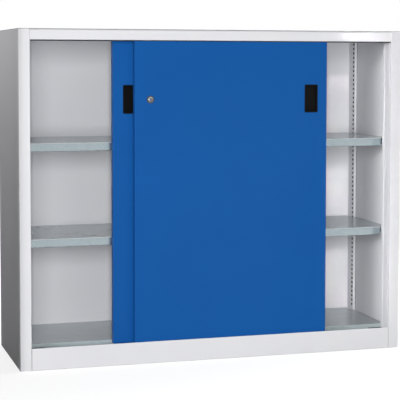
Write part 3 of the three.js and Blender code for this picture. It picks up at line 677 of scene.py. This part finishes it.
def round_folds(bm, folds, bend, thickness):
    """Rounds fold lines, with the inside radius where the face turns in."""
    bm.normal_update()
    outward = [edge for edge in folds if edge.calc_face_angle_signed() > 0]
    inward = [edge for edge in folds if edge not in outward]
    for edges, radius in ((outward, bend), (inward, bend - thickness)):
        if edges:
            round_edges(bm, edges, radius, BEND_STEPS)


def thicken(bm, thickness):
    """Adds the sheet's thickness behind its faces."""
    bm.normal_update()
    bmesh.ops.solidify(bm, geom=bm.faces[:], thickness=thickness)


def points_of(drawn):
    """The vertices among the parts that an extrusion made."""
    return [part for part in drawn["geom"] if isinstance(part, bmesh.types.BMVert)]


def folded_sheet(path, start, end, along, thickness=SHEET):
    """A folded sheet of one section. A point of the path may bring its own bend radius."""
    bm = bmesh.new()
    first = [bm.verts.new(on_axis(along, u, v, start)) for u, v, *_ in path]
    edges = [bm.edges.new(pair) for pair in zip(first, first[1:])]
    last = points_of(bmesh.ops.extrude_edge_only(bm, edges=edges))
    bmesh.ops.translate(bm, verts=last, vec=on_axis(along, 0, 0, end - start))
    bmesh.ops.reverse_faces(bm, faces=bm.faces)
    radii = [rest[0] if rest else BEND for _, _, *rest in path]
    folds = {}
    for vert, radius in list(zip(first, radii))[1:-1]:
        line = next(edge for edge in vert.link_edges if edge.other_vert(vert) in last)
        folds.setdefault(radius, []).append(line)
    for radius, lines in folds.items():
        round_folds(bm, lines, radius, thickness)
    thicken(bm, thickness)
    return bm


print("sheet", SHEET / MM, "mm, folded to", BEND / MM, "mm outside")

# %% [markdown]
# Each side panel is one sheet: the outer wall, the stile beside the doors, the stile's return that
# makes the door jamb, and a narrow flange at the rear. Two rolled grooves run down the jamb, which
# show as darker lines in it. The right panel is the left one mirrored.

# %% Side panels
STILE_WIDTH = 33 * MM
JAMB_DEPTH = 64 * MM
REAR_FLANGE = 14 * MM
JAMB_BEND = 1.5 * MM
GROOVE_DEPTH = 1.4 * MM
GROOVE_BEND = 1.6 * MM
GROOVES = ((9 * MM, 14 * MM), (45 * MM, 50 * MM))


def side_panel(side):
    """The folded side, drawn for the left and mirrored for the right."""
    low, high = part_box(side + "_side_panel")
    wall = -max(abs(low.x), abs(high.x))
    jamb = wall + STILE_WIDTH
    path = [(wall + REAR_FLANGE, high.y), (wall, high.y), (wall, low.y), (jamb, low.y, JAMB_BEND)]
    for start, end in GROOVES:
        for depth, at in ((0, start), (GROOVE_DEPTH, start), (GROOVE_DEPTH, end), (0, end)):
            path.append((jamb - depth, low.y + at, GROOVE_BEND))
    path.append((jamb, low.y + JAMB_DEPTH))
    bm = folded_sheet(path, low.z, high.z, "z")
    if side == "right":
        bmesh.ops.scale(bm, vec=(-1, 1, 1), verts=bm.verts)
    finish_piece(bm, side + "_folded_side", side + "_side_panel")


for side in ("left", "right"):
    side_panel(side)

# %% [markdown]
# The rail above the doors and the plinth below them are short profiles along the width. The rail
# ends in a small lip that stiffens its lower edge. The plinth's upper edge is a hem: the sheet is
# folded flat back on itself, so no raw edge shows, and its foot turns in along the floor.

# %% Rail and plinth
RAIL_FLANGE = 20 * MM
RAIL_LIP = 3 * MM
RAIL_BEND = 5.5 * MM
END_JOIN = 0.55 * MM
PLINTH_FOOT = 20 * MM
HEM_HEIGHT = 10 * MM
HEM_BEND = 1.19 * MM
HEM_SHEET = 1.15 * MM
SEAM_LINE = 0.55 * MM

low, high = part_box("top_rail")
end = high.x + END_JOIN
flange = [(low.y + RAIL_FLANGE, high.z), (low.y, high.z, RAIL_BEND)]
lip = [(low.y, low.z), (low.y + RAIL_LIP, low.z)]
finish_piece(folded_sheet(flange + lip, -end, end, "x"), "folded_rail", "top_rail")

low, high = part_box("plinth")
end = high.x + END_JOIN
hem_back = low.y + 2 * SHEET
hem = [(hem_back, high.z - HEM_HEIGHT), (hem_back, high.z, HEM_BEND), (low.y, high.z, HEM_BEND)]
foot = [(low.y, low.z), (low.y + PLINTH_FOOT, low.z)]
bm = folded_sheet(hem + foot, -end, end, "x", thickness=HEM_SHEET)
# The plinth's paint turns dark grey at its very ends, as painted shade in the seams beside the stiles.
plinth_paint = powder_coat("plinth paint", **GREY_COAT, painted_shade=beyond(end - SEAM_LINE))
finish_piece(bm, "folded_plinth", "plinth", finish=plinth_paint)

# %% [markdown]
# The lid is a flat plate whose rear edge folds down between the side panels' flanges, and the back
# is a plain plate. Both start as one flat face. The lid's blank has a small relief notch at each end
# of the fold, as a real blank has, so that the sheet can bend there without tearing.

# %% Lid and back
LID_FLANGE = 14 * MM
FLANGE_SEAM = 0.3 * MM
LID_BEND = 1.6 * MM
LID_EASE = 0.9 * MM
RELIEF = 0.8 * MM
SHADE_LINE_HEIGHT = 0.55 * MM
EASE_STEPS = 3


def blank(bm, corners):
    """One flat face from its corners, counted the way round that makes it face out."""
    return bm.faces.new([bm.verts.new(corner) for corner in corners])


def mirrored(half):
    """An outline's right half, (x, y) from front to back, and its mirror image after it."""
    return half + [(-x, y) for x, y in reversed(half)]


def edges_where(bm, test):
    """The edges whose two ends both pass a test."""
    return [edge for edge in bm.edges if all(test(vert.co) for vert in edge.verts)]


def fold_out(bm, edges, step):
    """Draws edges out by a step and gives back the ones at the far end."""
    drawn = bmesh.ops.extrude_edge_only(bm, edges=edges)
    far = points_of(drawn)
    bmesh.ops.translate(bm, verts=far, vec=step)
    new_edges = [part for part in drawn["geom"] if isinstance(part, bmesh.types.BMEdge)]
    return [edge for edge in new_edges if all(vert in far for vert in edge.verts)]


def near(first, second):
    """True within a thousandth of a millimetre."""
    return abs(first - second) < WELD_DISTANCE


low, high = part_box("top_panel")
flange_end = high.x - LID_FLANGE - FLANGE_SEAM
notch_end = flange_end + RELIEF
notch_depth = high.y - LID_BEND - RELIEF
half_lid = [
    (high.x, low.y), (high.x, high.y), (notch_end, high.y), (notch_end, notch_depth),
    (flange_end, notch_depth), (flange_end, high.y),
]
bm = bmesh.new()
blank(bm, [(x, y, high.z) for x, y in mirrored(half_lid)])
rear = edges_where(bm, lambda at: near(at.y, high.y) and abs(at.x) < flange_end + WELD_DISTANCE)
fold_out(bm, rear, (0, 0, -LID_FLANGE))
round_folds(bm, rear, LID_BEND, SHEET)
thicken(bm, SHEET)
on_top = edges_where(bm, lambda at: near(at.z, high.z))
rim = edges_where(bm, lambda at: near(at.y, low.y) or near(abs(at.x), high.x))
upper = [edge for edge in on_top if edge in rim and edge.calc_face_angle(0) > SHARP_ANGLE]
round_edges(bm, upper, LID_EASE, EASE_STEPS)
# A fine band of the lid's edge is painted dark grey, as painted shade along its top edge.
shade_line_low = high.z - SHEET + 2 * SHADE_FADE
lid_paint = powder_coat("lid paint", **GREY_COAT, painted_shade=between(shade_line_low, shade_line_low + SHADE_LINE_HEIGHT))
finish_piece(bm, "folded_lid", "top_panel", finish=lid_paint)

low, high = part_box("back_panel")
bm = bmesh.new()
corners = [(low.x, low.z), (high.x, low.z), (high.x, high.z), (low.x, high.z)]
blank(bm, [(x, low.y, z) for x, z in corners])
thicken(bm, high.y - low.y)
finish_piece(bm, "back_sheet", "back_panel")

# %% [markdown]
# A shelf is a plate notched at its four corners round the posts, with a lip folded down on each
# side. The front lip is folded once more under itself and stops short of the posts, which leaves the
# small dark gaps at its ends. The floor is made the same way with plain lips. The notched plate is
# drawn as one face, and each straight edge that carries a lip is then folded out.

# %% Shelves and floor
SHELF_SHEET = 1 * MM
SHELF_LIP = 25 * MM
SHELF_HEM = 12 * MM
SHELF_REAR_LIP = 20 * MM
LIP_END = 37 * MM
NOTCH_GAP = 0.8 * MM


def post_edge(end, side_of_box):
    """Where a post's near edge lies from front to back."""
    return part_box(end + "_right_post")[side_of_box].y


def shelf_outline(low, high, top, lip_half):
    """The notched plate seen from above. Its front edge steps out where the lip is folded."""
    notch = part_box("front_right_post")[0].x - NOTCH_GAP
    front_notch = post_edge("front", 1) + NOTCH_GAP
    rear_notch = post_edge("rear", 0) - NOTCH_GAP
    step = low.y if near(lip_half, notch) else low.y + BEND + RELIEF
    right = [
        (lip_half, low.y), (lip_half, step), (notch, step), (notch, front_notch),
        (high.x, front_notch), (high.x, rear_notch), (notch, rear_notch), (notch, high.y),
    ]
    if near(lip_half, notch):
        right = right[2:]
    return [(x, y, top) for x, y in mirrored(right)]


def shelf_sheet(node, top, lip, rear_lip, lip_half, hem):
    """A plate with its lips folded down."""
    low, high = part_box(node)
    bm = bmesh.new()
    blank(bm, shelf_outline(low, high, top, lip_half))
    front = edges_where(bm, lambda at: near(at.y, low.y))
    rear = edges_where(bm, lambda at: near(at.y, high.y))
    ends = edges_where(bm, lambda at: near(abs(at.x), high.x))
    turned_down = fold_out(bm, front, (0, 0, -lip))
    folds = front + rear + ends
    if hem:
        fold_out(bm, turned_down, (0, hem, 0))
        folds += turned_down
    fold_out(bm, rear, (0, 0, -rear_lip))
    fold_out(bm, ends, (0, 0, -lip))
    round_folds(bm, folds, BEND, SHELF_SHEET)
    thicken(bm, SHELF_SHEET)
    return bm


lip_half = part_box("top_panel")[1].x - LIP_END
for node in ("lower_shelf", "upper_shelf"):
    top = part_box(node)[1].z
    bm = shelf_sheet(node, top, SHELF_LIP, SHELF_REAR_LIP, lip_half, SHELF_HEM)
    finish_piece(bm, node + "_sheet", node)

low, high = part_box("bottom_shelf")
floor_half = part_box("front_right_post")[0].x - NOTCH_GAP
bm = shelf_sheet("bottom_shelf", high.z, high.z - low.z, high.z - low.z, floor_half, 0)
finish_piece(bm, "floor_sheet", "bottom_shelf")

# %% [markdown]
# The shelves hang on four posts, channels whose inner face is pierced by a column of slots with
# round ends. A slot starts as a circle of a few points pulled apart. It is bridged to a rectangle
# one pitch high, which gives a cell with a hole, and the cell is repeated up the post with a spin
# that only steps. Then the ends are drawn out, the two flanges folded and the metal thickened. A
# plain strip closes the channel at the side panel, and makes the pocket that is seen in each slot.

# %% Rounded openings
def rounded_loop(bm, width, height, radius, centre, steps=4):
    """A closed loop of edges round a rounded rectangle that stands upright, seen from the front."""
    made = bmesh.ops.create_circle(bm, cap_ends=False, segments=4 * steps, radius=radius)["verts"]
    half_step = math.pi / (4 * steps)
    for vert in made:
        angle = math.atan2(vert.co.y, vert.co.x) + half_step
        x = radius * math.cos(angle)
        z = radius * math.sin(angle)
        x += math.copysign(width / 2 - radius, x)
        z += math.copysign(height / 2 - radius, z)
        vert.co = Vector(centre) + Vector((x, 0, z))
    return list({edge for vert in made for edge in vert.link_edges})


def rectangle_loop(bm, corners):
    """A closed loop of edges through corners."""
    verts = [bm.verts.new(corner) for corner in corners]
    return [bm.edges.new((vert, verts[i - 1])) for i, vert in enumerate(verts)]


bm = bmesh.new()
print("a loop has", len(rounded_loop(bm, 2, 1, 0.5, (0, 0, 0))), "edges")
bm.free()

# %% Posts
SLOT_PITCH = 15 * MM
SLOT_LENGTH = 13.6 * MM
SLOT_HEIGHT = 7.2 * MM
SLOT_MIDDLE = 11 * MM
POST_BEND = 2.4 * MM
POST_SETBACK = 4.5 * MM
POST_SHEET = 0.8 * MM
SLOTS_START = 18 * MM
FIRST_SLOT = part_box("bottom_shelf")[1].z + SLOTS_START


def add_box(bm, low, high):
    """A plain box between two corners."""
    verts = bmesh.ops.create_cube(bm, size=1)["verts"]
    bmesh.ops.scale(bm, vec=high - low, verts=verts)
    bmesh.ops.translate(bm, vec=(low + high) / 2, verts=verts)


def post_sheet(side, end):
    """A pierced channel. It is built in the plane of its face and turned to the side wall."""
    node = f"{end}_{side}_post"
    low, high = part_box(node)
    slot_y = high.y - SLOT_MIDDLE if end == "front" else low.y + SLOT_MIDDLE
    count = math.floor((high.z - FIRST_SLOT - SLOT_HEIGHT) / SLOT_PITCH)
    first_low, first_high = FIRST_SLOT - SLOT_PITCH / 2, FIRST_SLOT + SLOT_PITCH / 2
    near_side, far_side = low.y + POST_BEND, high.y - POST_BEND
    bm = bmesh.new()
    hole = rounded_loop(bm, SLOT_LENGTH, SLOT_HEIGHT, SLOT_HEIGHT / 2, (slot_y, 0, FIRST_SLOT))
    lower_edge = [(near_side, 0, first_low), (far_side, 0, first_low)]
    upper_edge = [(far_side, 0, first_high), (near_side, 0, first_high)]
    bmesh.ops.bridge_loops(bm, edges=hole + rectangle_loop(bm, lower_edge + upper_edge))
    bmesh.ops.spin(
        bm, geom=bm.verts[:] + bm.edges[:] + bm.faces[:], cent=(0, 0, 0), axis=(0, 0, 1),
        dvec=(0, 0, SLOT_PITCH), angle=0, steps=count - 1, use_duplicate=True,
    )
    bmesh.ops.remove_doubles(bm, verts=bm.verts, dist=WELD_DISTANCE)
    last_high = first_high + (count - 1) * SLOT_PITCH
    fold_out(bm, edges_where(bm, lambda at: near(at.z, first_low)), (0, 0, low.z - first_low))
    fold_out(bm, edges_where(bm, lambda at: near(at.z, last_high)), (0, 0, high.z - last_high))
    folds = []
    for side_of_cell, outwards in ((near_side, -POST_BEND), (far_side, POST_BEND)):
        folds += fold_out(bm, edges_where(bm, lambda at: near(at.x, side_of_cell)), (outwards, 0, 0))
    bmesh.ops.recalc_face_normals(bm, faces=bm.faces)
    if bm.faces[0].normal.y > 0:
        bmesh.ops.reverse_faces(bm, faces=bm.faces)
    fold_out(bm, folds, (0, high.x - low.x - POST_SETBACK, 0))
    round_folds(bm, folds, POST_BEND, POST_SHEET)
    thicken(bm, POST_SHEET)
    face_x = low.x + POST_SETBACK if side == "right" else high.x - POST_SETBACK
    inwards = 1 if side == "right" else -1
    for vert in bm.verts:
        along, out, up = vert.co
        vert.co = (face_x + inwards * out, along, up)
    # The strip's face in the pocket takes the painted shade of the post paint, so each slot reads dark.
    wall_x = low.x if inwards < 0 else high.x - POCKET_WALL
    wall_end = Vector((wall_x + POCKET_WALL, high.y - SHEET, high.z))
    add_box(bm, Vector((wall_x, low.y + SHEET, low.z)), wall_end)
    finish_piece(bm, f"{node}_channel", node, finish=post_paint)


for side in ("left", "right"):
    for end in ("front", "rear"):
        post_sheet(side, end)

# %% [markdown]
# A door is a shallow tray: the skin, a return on all four sides and a narrow lip round the back that
# keeps it flat. It starts as a box cut down its middle, so that each half of a face can take one
# opening. The back face is inset by the lip's width and taken out, and the outer edges are rounded.
# An opening is made before the tray is thickened: a face is inset, its inner corners are moved to
# the opening's place, and for a rounded one the rest is bridged to a rounded loop.

# %% Door trays
DOOR_LIP = 14 * MM
DOOR_BEND = 1.5 * MM
GRIP_RIM = 2.5 * MM
GRIP_CORNER = 4 * MM
WINDOW_GAP = 0.3 * MM
BARREL_RADIUS = 9.5 * MM
ROLLER_SLOT = (26.6 * MM, 16.6 * MM)
GUIDE_SLOT = (24.6 * MM, 12.6 * MM)
RETURN_AREA = 0.004
SLIGHT_INSET = 3 * MM
WINDOW_MARGIN = 4 * MM
DOOR_STEPS = 4
FACES_ALONG = 0.99


def inner_corners(bm, face, centre, across, width, other, height):
    """Insets a face and moves the inner one's corners to a rectangle on two axes."""
    bmesh.ops.inset_individual(bm, faces=[face], thickness=SLIGHT_INSET, use_even_offset=True)
    middle = face.calc_center_bounds()
    for vert in face.verts:
        for axis, size in ((across, width), (other, height)):
            vert.co[axis] = centre[axis] + math.copysign(size / 2, vert.co[axis] - middle[axis])


def open_window(bm, face, centre, width, height, radius):
    """Opens a rounded window in a flat upright face."""
    inner_corners(bm, face, centre, 0, width + WINDOW_MARGIN, 2, height + WINDOW_MARGIN)
    border = list(face.edges)
    bmesh.ops.delete(bm, geom=[face], context="FACES_ONLY")
    window = rounded_loop(bm, width, height, radius, centre, steps=6)
    bmesh.ops.bridge_loops(bm, edges=border + window)


def open_slot(bm, face, centre, width, depth):
    """Opens a plain slot in a flat level face."""
    inner_corners(bm, face, centre, 0, width, 1, depth)
    bmesh.ops.delete(bm, geom=[face], context="FACES_ONLY")


def faces_towards(bm, axis, sign, smallest):
    """The flat faces that look along an axis, no smaller than an area, from left to right."""
    bm.normal_update()
    towards = [face for face in bm.faces if face.normal[axis] * sign > FACES_ALONG]
    large = [face for face in towards if face.calc_area() > smallest]
    return sorted(large, key=lambda face: face.calc_center_bounds().x)


def door_tray(name, with_lock):
    """A door's folded tray with its windows and the slots for rollers and guides."""
    low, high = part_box(name)
    middle = (low + high) / 2
    bm = bmesh.new()
    add_box(bm, low, high)
    everything = bm.verts[:] + bm.edges[:] + bm.faces[:]
    bmesh.ops.bisect_plane(bm, geom=everything, plane_co=middle, plane_no=(1, 0, 0))
    back = faces_towards(bm, 1, 1, 0)
    bmesh.ops.inset_region(bm, faces=back, thickness=DOOR_LIP, use_boundary=True, use_even_offset=True)
    bmesh.ops.delete(bm, geom=back, context="FACES")
    bm.normal_update()
    corners = [edge for edge in bm.edges if edge.calc_face_angle(0) > SHARP_ANGLE]
    round_edges(bm, corners, DOOR_BEND, DOOR_STEPS)
    half = (high.x - low.x) * (high.z - low.z) / 4
    left_half, right_half = faces_towards(bm, 1, -1, half)
    grip_low, grip_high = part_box(name + "_grip")
    window = (grip_high - grip_low) + Vector((1, 0, 1)) * (2 * (WINDOW_GAP - GRIP_RIM))
    grip_centre = (grip_low + grip_high) / 2
    grip_centre.y = low.y
    grip_half = right_half if grip_centre.x > middle.x else left_half
    open_window(bm, grip_half, grip_centre, window.x, window.z, GRIP_CORNER - GRIP_RIM + WINDOW_GAP)
    if with_lock:
        lock_size = 2 * (BARREL_RADIUS + WINDOW_GAP)
        lock_centre = Vector((LOCK_AXIS.x, low.y, LOCK_AXIS.z))
        open_window(bm, left_half, lock_centre, lock_size, lock_size, lock_size / 2)
    for sign, part, (width, depth) in ((-1, "roller", ROLLER_SLOT), (1, "top_guide", GUIDE_SLOT)):
        for side, face in zip(("left", "right"), faces_towards(bm, 2, sign, RETURN_AREA)):
            part_low, part_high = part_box(f"{name}_{side}_{part}")
            open_slot(bm, face, (part_low + part_high) / 2, width, depth)
    thicken(bm, SHEET)
    finish_piece(bm, name + "_tray", name)


door_tray("front_door", True)
door_tray("rear_door", False)

# %% [markdown]
# A grip is one plastic moulding: a flat rim on the door's face round a cup to pull with. It is lofted
# from rounded loops of the same count, bridged one after the other: up the outside of the rim, over
# its rounded edge, down into the hollow, and on the other side along the cup to its closed end. The
# last hollow loop is narrower, because a moulding needs some draft to leave its mould. No two loops
# that are bridged lie in one plane, since the bridge then can't tell which points belong together.

# %% Grips and keeper plate
GRIP_ROUND = 0.5 * MM
GRIP_DRAFT = 1 * MM
GRIP_WALL = 1.5 * MM
GRIP_FACE_GAP = 0.3 * MM
RIM_SLOPE = 0.05 * MM


def loft(bm, centre, loops, steps=6, closed=False):
    """Bridges rounded loops, each (width, height, radius, y), and caps the ends or joins them."""
    rings = [rounded_loop(bm, w, h, r, (centre.x, y, centre.z), steps=steps) for w, h, r, y in loops]
    for first, second in zip(rings, rings[1:] + ([rings[0]] if closed else [])):
        bmesh.ops.bridge_loops(bm, edges=first + second)
    if not closed:
        for ring in (rings[0], rings[-1]):
            bmesh.ops.contextual_create(bm, geom=ring)
    bmesh.ops.recalc_face_normals(bm, faces=bm.faces)


def disc(radius, y):
    """A round loop for a loft."""
    return 2 * radius, 2 * radius, radius, y


def rounded_edge(width, height, radius, y, inward, count=4):
    """Loops over a rounded edge, from the full size to a narrower one in front, or wider at -1."""
    for step in range(count + 1):
        turn = math.pi / 2 * step / count
        inset = GRIP_ROUND * (1 - math.cos(turn))
        rise = GRIP_ROUND * (1 - math.sin(turn))
        grow = -2 * inset * inward
        yield width + grow, height + grow, radius + grow / 2, y + rise


def grip_moulding(door):
    """The rim and the cup of one door's grip."""
    low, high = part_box(door + "_grip")
    width, height = high.x - low.x, high.z - low.z
    cup_width, cup_height = width - 2 * GRIP_RIM, height - 2 * GRIP_RIM
    mouth_width, mouth_height = cup_width - 2 * GRIP_WALL, cup_height - 2 * GRIP_WALL
    cup_radius = GRIP_CORNER - GRIP_RIM
    rim_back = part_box(door)[0].y - GRIP_FACE_GAP
    outer_edge = list(rounded_edge(width, height, GRIP_CORNER, low.y, 1))
    inner_edge = list(rounded_edge(mouth_width, mouth_height, cup_radius, low.y + RIM_SLOPE, -1))
    floor_y = high.y - GRIP_WALL
    small, smaller = GRIP_DRAFT, 3 * GRIP_DRAFT
    bm = bmesh.new()
    loft(bm, (low + high) / 2, [
        (cup_width - small, cup_height - small, cup_radius, high.y),
        (cup_width, cup_height, cup_radius, high.y - small / 2),
        (cup_width, cup_height, cup_radius, rim_back + RIM_SLOPE),
        (width, height, GRIP_CORNER, rim_back),
        *outer_edge,
        *inner_edge[::-1],
        (mouth_width - small, mouth_height - small, cup_radius, floor_y - small),
        (mouth_width - smaller, mouth_height - smaller, cup_radius / 2, floor_y),
    ])
    finish_piece(bm, door + "_grip_moulding", door + "_grip")


for door in ("front_door", "rear_door"):
    grip_moulding(door)

KEEPER_HOLE = 5 * MM
KEEPER_ROUND = 0.6 * MM
low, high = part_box("keeper_plate")
width, height = high.x - low.x, high.z - low.z
ease = 2 * KEEPER_ROUND
bm = bmesh.new()
loft(bm, (low + high) / 2, [
    (width, height, GRIP_CORNER, high.y),
    (width, height, GRIP_CORNER, low.y + KEEPER_ROUND),
    (width - ease, height - ease, GRIP_CORNER - KEEPER_ROUND, low.y),
    disc(KEEPER_HOLE, low.y + RIM_SLOPE),
    disc(KEEPER_HOLE, high.y),
], closed=True)
finish_piece(bm, "keeper_moulding", "keeper_plate")

# %% [markdown]
# The lock's round parts are turned, so each is a closed profile spun about the lock's axis. The
# housing's flange lies on the door, the cylinder slides in it with a bolt on its far end, and the
# core with the key slot turns in the cylinder. The core is the only one that isn't quite round: its
# slot is a narrow loop bridged to the face's edge, so the slot's walls go straight down from it.

# %% Lock
TURN_STEPS = 48
DOME_STEPS = 6
LOCK_FLANGE = 2.5 * MM
LOCK_CHAMFER = 0.8 * MM
LOCK_EASE = 0.35 * MM
CYLINDER_RADIUS = 7.4 * MM
CYLINDER_SHOULDER = 15 * MM
BOLT_RADIUS = 4 * MM
LOCK_PLAY = 0.3 * MM
CORE_RADIUS = 4.8 * MM
CORE_STEPS = 8
KEY_SLOT_WIDTH = 1.8 * MM
KEY_SLOT_HEIGHT = 6.4 * MM
KEY_SLOT_DEPTH = 9 * MM
KEY_SLOT_CORNER = 0.3 * MM


def turned(profile):
    """A closed profile of (radius, y) spun about the lock's axis."""
    bm = bmesh.new()
    points = [bm.verts.new((LOCK_AXIS.x + radius, y, LOCK_AXIS.z)) for radius, y in profile]
    for i, point in enumerate(points):
        if profile[i - 1][0] + profile[i][0] > 0:
            bm.edges.new((points[i - 1], point))
    bmesh.ops.spin(
        bm, geom=bm.verts[:] + bm.edges[:], cent=LOCK_AXIS, axis=(0, 1, 0),
        angle=2 * math.pi, steps=TURN_STEPS, use_merge=True,
    )
    bmesh.ops.remove_doubles(bm, verts=bm.verts, dist=WELD_DISTANCE)
    bmesh.ops.recalc_face_normals(bm, faces=bm.faces)
    return bm


low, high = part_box("lock_housing")
flange_radius = (high.x - low.x) / 2
flange_back = low.y + LOCK_FLANGE
bore = CYLINDER_RADIUS + LOCK_PLAY
housing = turned([
    (bore, high.y), (bore, low.y + LOCK_EASE), (bore + LOCK_EASE, low.y),
    (flange_radius - 2 * LOCK_CHAMFER, low.y),
    (flange_radius - LOCK_CHAMFER / 2, low.y + LOCK_CHAMFER / 3),
    (flange_radius, low.y + LOCK_CHAMFER), (flange_radius, flange_back),
    (BARREL_RADIUS, flange_back), (BARREL_RADIUS, high.y),
])
finish_piece(housing, "lock_flange_and_barrel", "lock_housing")

low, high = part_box("lock_cylinder")
core_low, core_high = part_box("lock_core")
core_bore = CORE_RADIUS + LOCK_PLAY
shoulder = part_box("front_door")[0].y + CYLINDER_SHOULDER
bore_end = core_high.y + LOCK_PLAY
dome_radius = CYLINDER_RADIUS - core_bore - LOCK_EASE
dome = []
for step in range(DOME_STEPS + 1):
    turn = math.pi / 2 * step / DOME_STEPS
    radius = CYLINDER_RADIUS - dome_radius * (1 - math.sin(turn))
    dome.append((radius, low.y + dome_radius * (1 - math.cos(turn))))
cylinder = turned([
    (core_bore, bore_end), (core_bore, low.y + LOCK_EASE), *dome,
    (CYLINDER_RADIUS, shoulder - LOCK_EASE), (CYLINDER_RADIUS - LOCK_EASE, shoulder),
    (BOLT_RADIUS, shoulder), (BOLT_RADIUS, high.y - LOCK_CHAMFER), (BOLT_RADIUS - LOCK_CHAMFER, high.y),
    (0, high.y), (0, bore_end),
])
finish_piece(cylinder, "lock_push_cylinder", "lock_cylinder")

key_slot = (KEY_SLOT_WIDTH, KEY_SLOT_HEIGHT, KEY_SLOT_CORNER)
bm = bmesh.new()
loft(bm, LOCK_AXIS, [
    disc(CORE_RADIUS, core_high.y),
    disc(CORE_RADIUS, core_low.y + LOCK_EASE),
    disc(CORE_RADIUS - LOCK_EASE, core_low.y),
    (*key_slot, core_low.y + RIM_SLOPE),
    (*key_slot, core_low.y + KEY_SLOT_DEPTH),
], steps=CORE_STEPS)
finish_piece(bm, "lock_key_core", "lock_core")

# %% [markdown]
# The doors roll in a track of one extruded section under the shelves: a floor, two runners for the
# rollers and three upright ribs, the rear one higher, which shows as a light strip behind the plinth.
# The section is one closed outline, drawn along the width, and the upper edges of the ribs and
# runners are eased with a bevel, since a drawn metal edge always has a small radius.

# %% Bottom track
RIB = 1.2 * MM
RUNNER = 2.4 * MM
TRACK_EASE = 0.35 * MM
FRONT_RIB = 15.2 * MM
MIDDLE_RIB = 10.2 * MM
RUNNER_HEIGHT = 4.2 * MM


def track_outline(low, high):
    """The section's points (y, z), along the bottom and back over the ribs."""
    door_middles = [sum(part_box(door), Vector()).y / 2 for door in ("front_door", "rear_door")]
    half_gap = (door_middles[1] - door_middles[0]) / 2
    deck = low.z + RIB
    upright = [(middle, RUNNER, low.z + RUNNER_HEIGHT) for middle in door_middles]
    for i, top in enumerate((low.z + FRONT_RIB, low.z + MIDDLE_RIB, high.z)):
        upright.append((door_middles[0] + (2 * i - 1) * half_gap, RIB, top))
    points = [(low.y, low.z), (high.y, low.z), (high.y, deck)]
    for middle, width, top in sorted(upright, reverse=True):
        right, left = middle + width / 2, middle - width / 2
        points += [(min(right, high.y), deck), (min(right, high.y), top)]
        points += [(max(left, low.y), top), (max(left, low.y), deck)]
    points.append((low.y, deck))
    return [point for i, point in enumerate(points) if point != points[i - 1]]


low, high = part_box("bottom_track")
bm = bmesh.new()
section = blank(bm, [(low.x, y, z) for y, z in track_outline(low, high)])
drawn = bmesh.ops.extrude_face_region(bm, geom=[section], use_keep_orig=True)
bmesh.ops.translate(bm, verts=points_of(drawn), vec=(high.x - low.x, 0, 0))
bmesh.ops.remove_doubles(bm, verts=bm.verts, dist=WELD_DISTANCE)
bmesh.ops.recalc_face_normals(bm, faces=bm.faces)
bm.normal_update()
raised = edges_where(bm, lambda at: at.z > low.z + 2 * RIB)
lengthwise = [edge for edge in raised if not near(edge.verts[0].co.x, edge.verts[1].co.x)]
round_edges(bm, lengthwise, TRACK_EASE, EASE_STEPS)
finish_piece(bm, "drawn_bottom_track", "bottom_track", finish=dull_zinc)

# %% [markdown]
# What is left are small parts that the measured model already shapes well enough: stiffeners, brackets,
# axles, rollers, guides, stops, clips, the lock's nut, the base and the upper track. They keep their own
# meshes and only take a finish, by the name of the plain material that the measured model gave them. The
# upper track's edges hang a little below the rail, and its zinc is painted near black as painted shade,
# so they show as a dark line.

# %% Finishes of the remaining nodes
kept = [node for node in frame["nodes"].values() if not node.hide_render]
for node in kept:
    for material_slot in node.material_slots:
        material_slot.material = FINISHES[material_slot.material.name]
# The upper track's zinc is painted near black, as painted shade under the rail.
frame["nodes"]["top_track"].material_slots[0].material = shade_dark_zinc
print(len(kept), "nodes keep their own mesh")

# %% [markdown]
# The sizes of the measured model and of the visual one are both printed.

# %% Sizes and finish
visual_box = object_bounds()
for name, box in (("measured", cad_box), ("visual", visual_box)):
    print(name, [round(size / MM, 2) for size in Vector(box[1]) - Vector(box[0])], "mm")
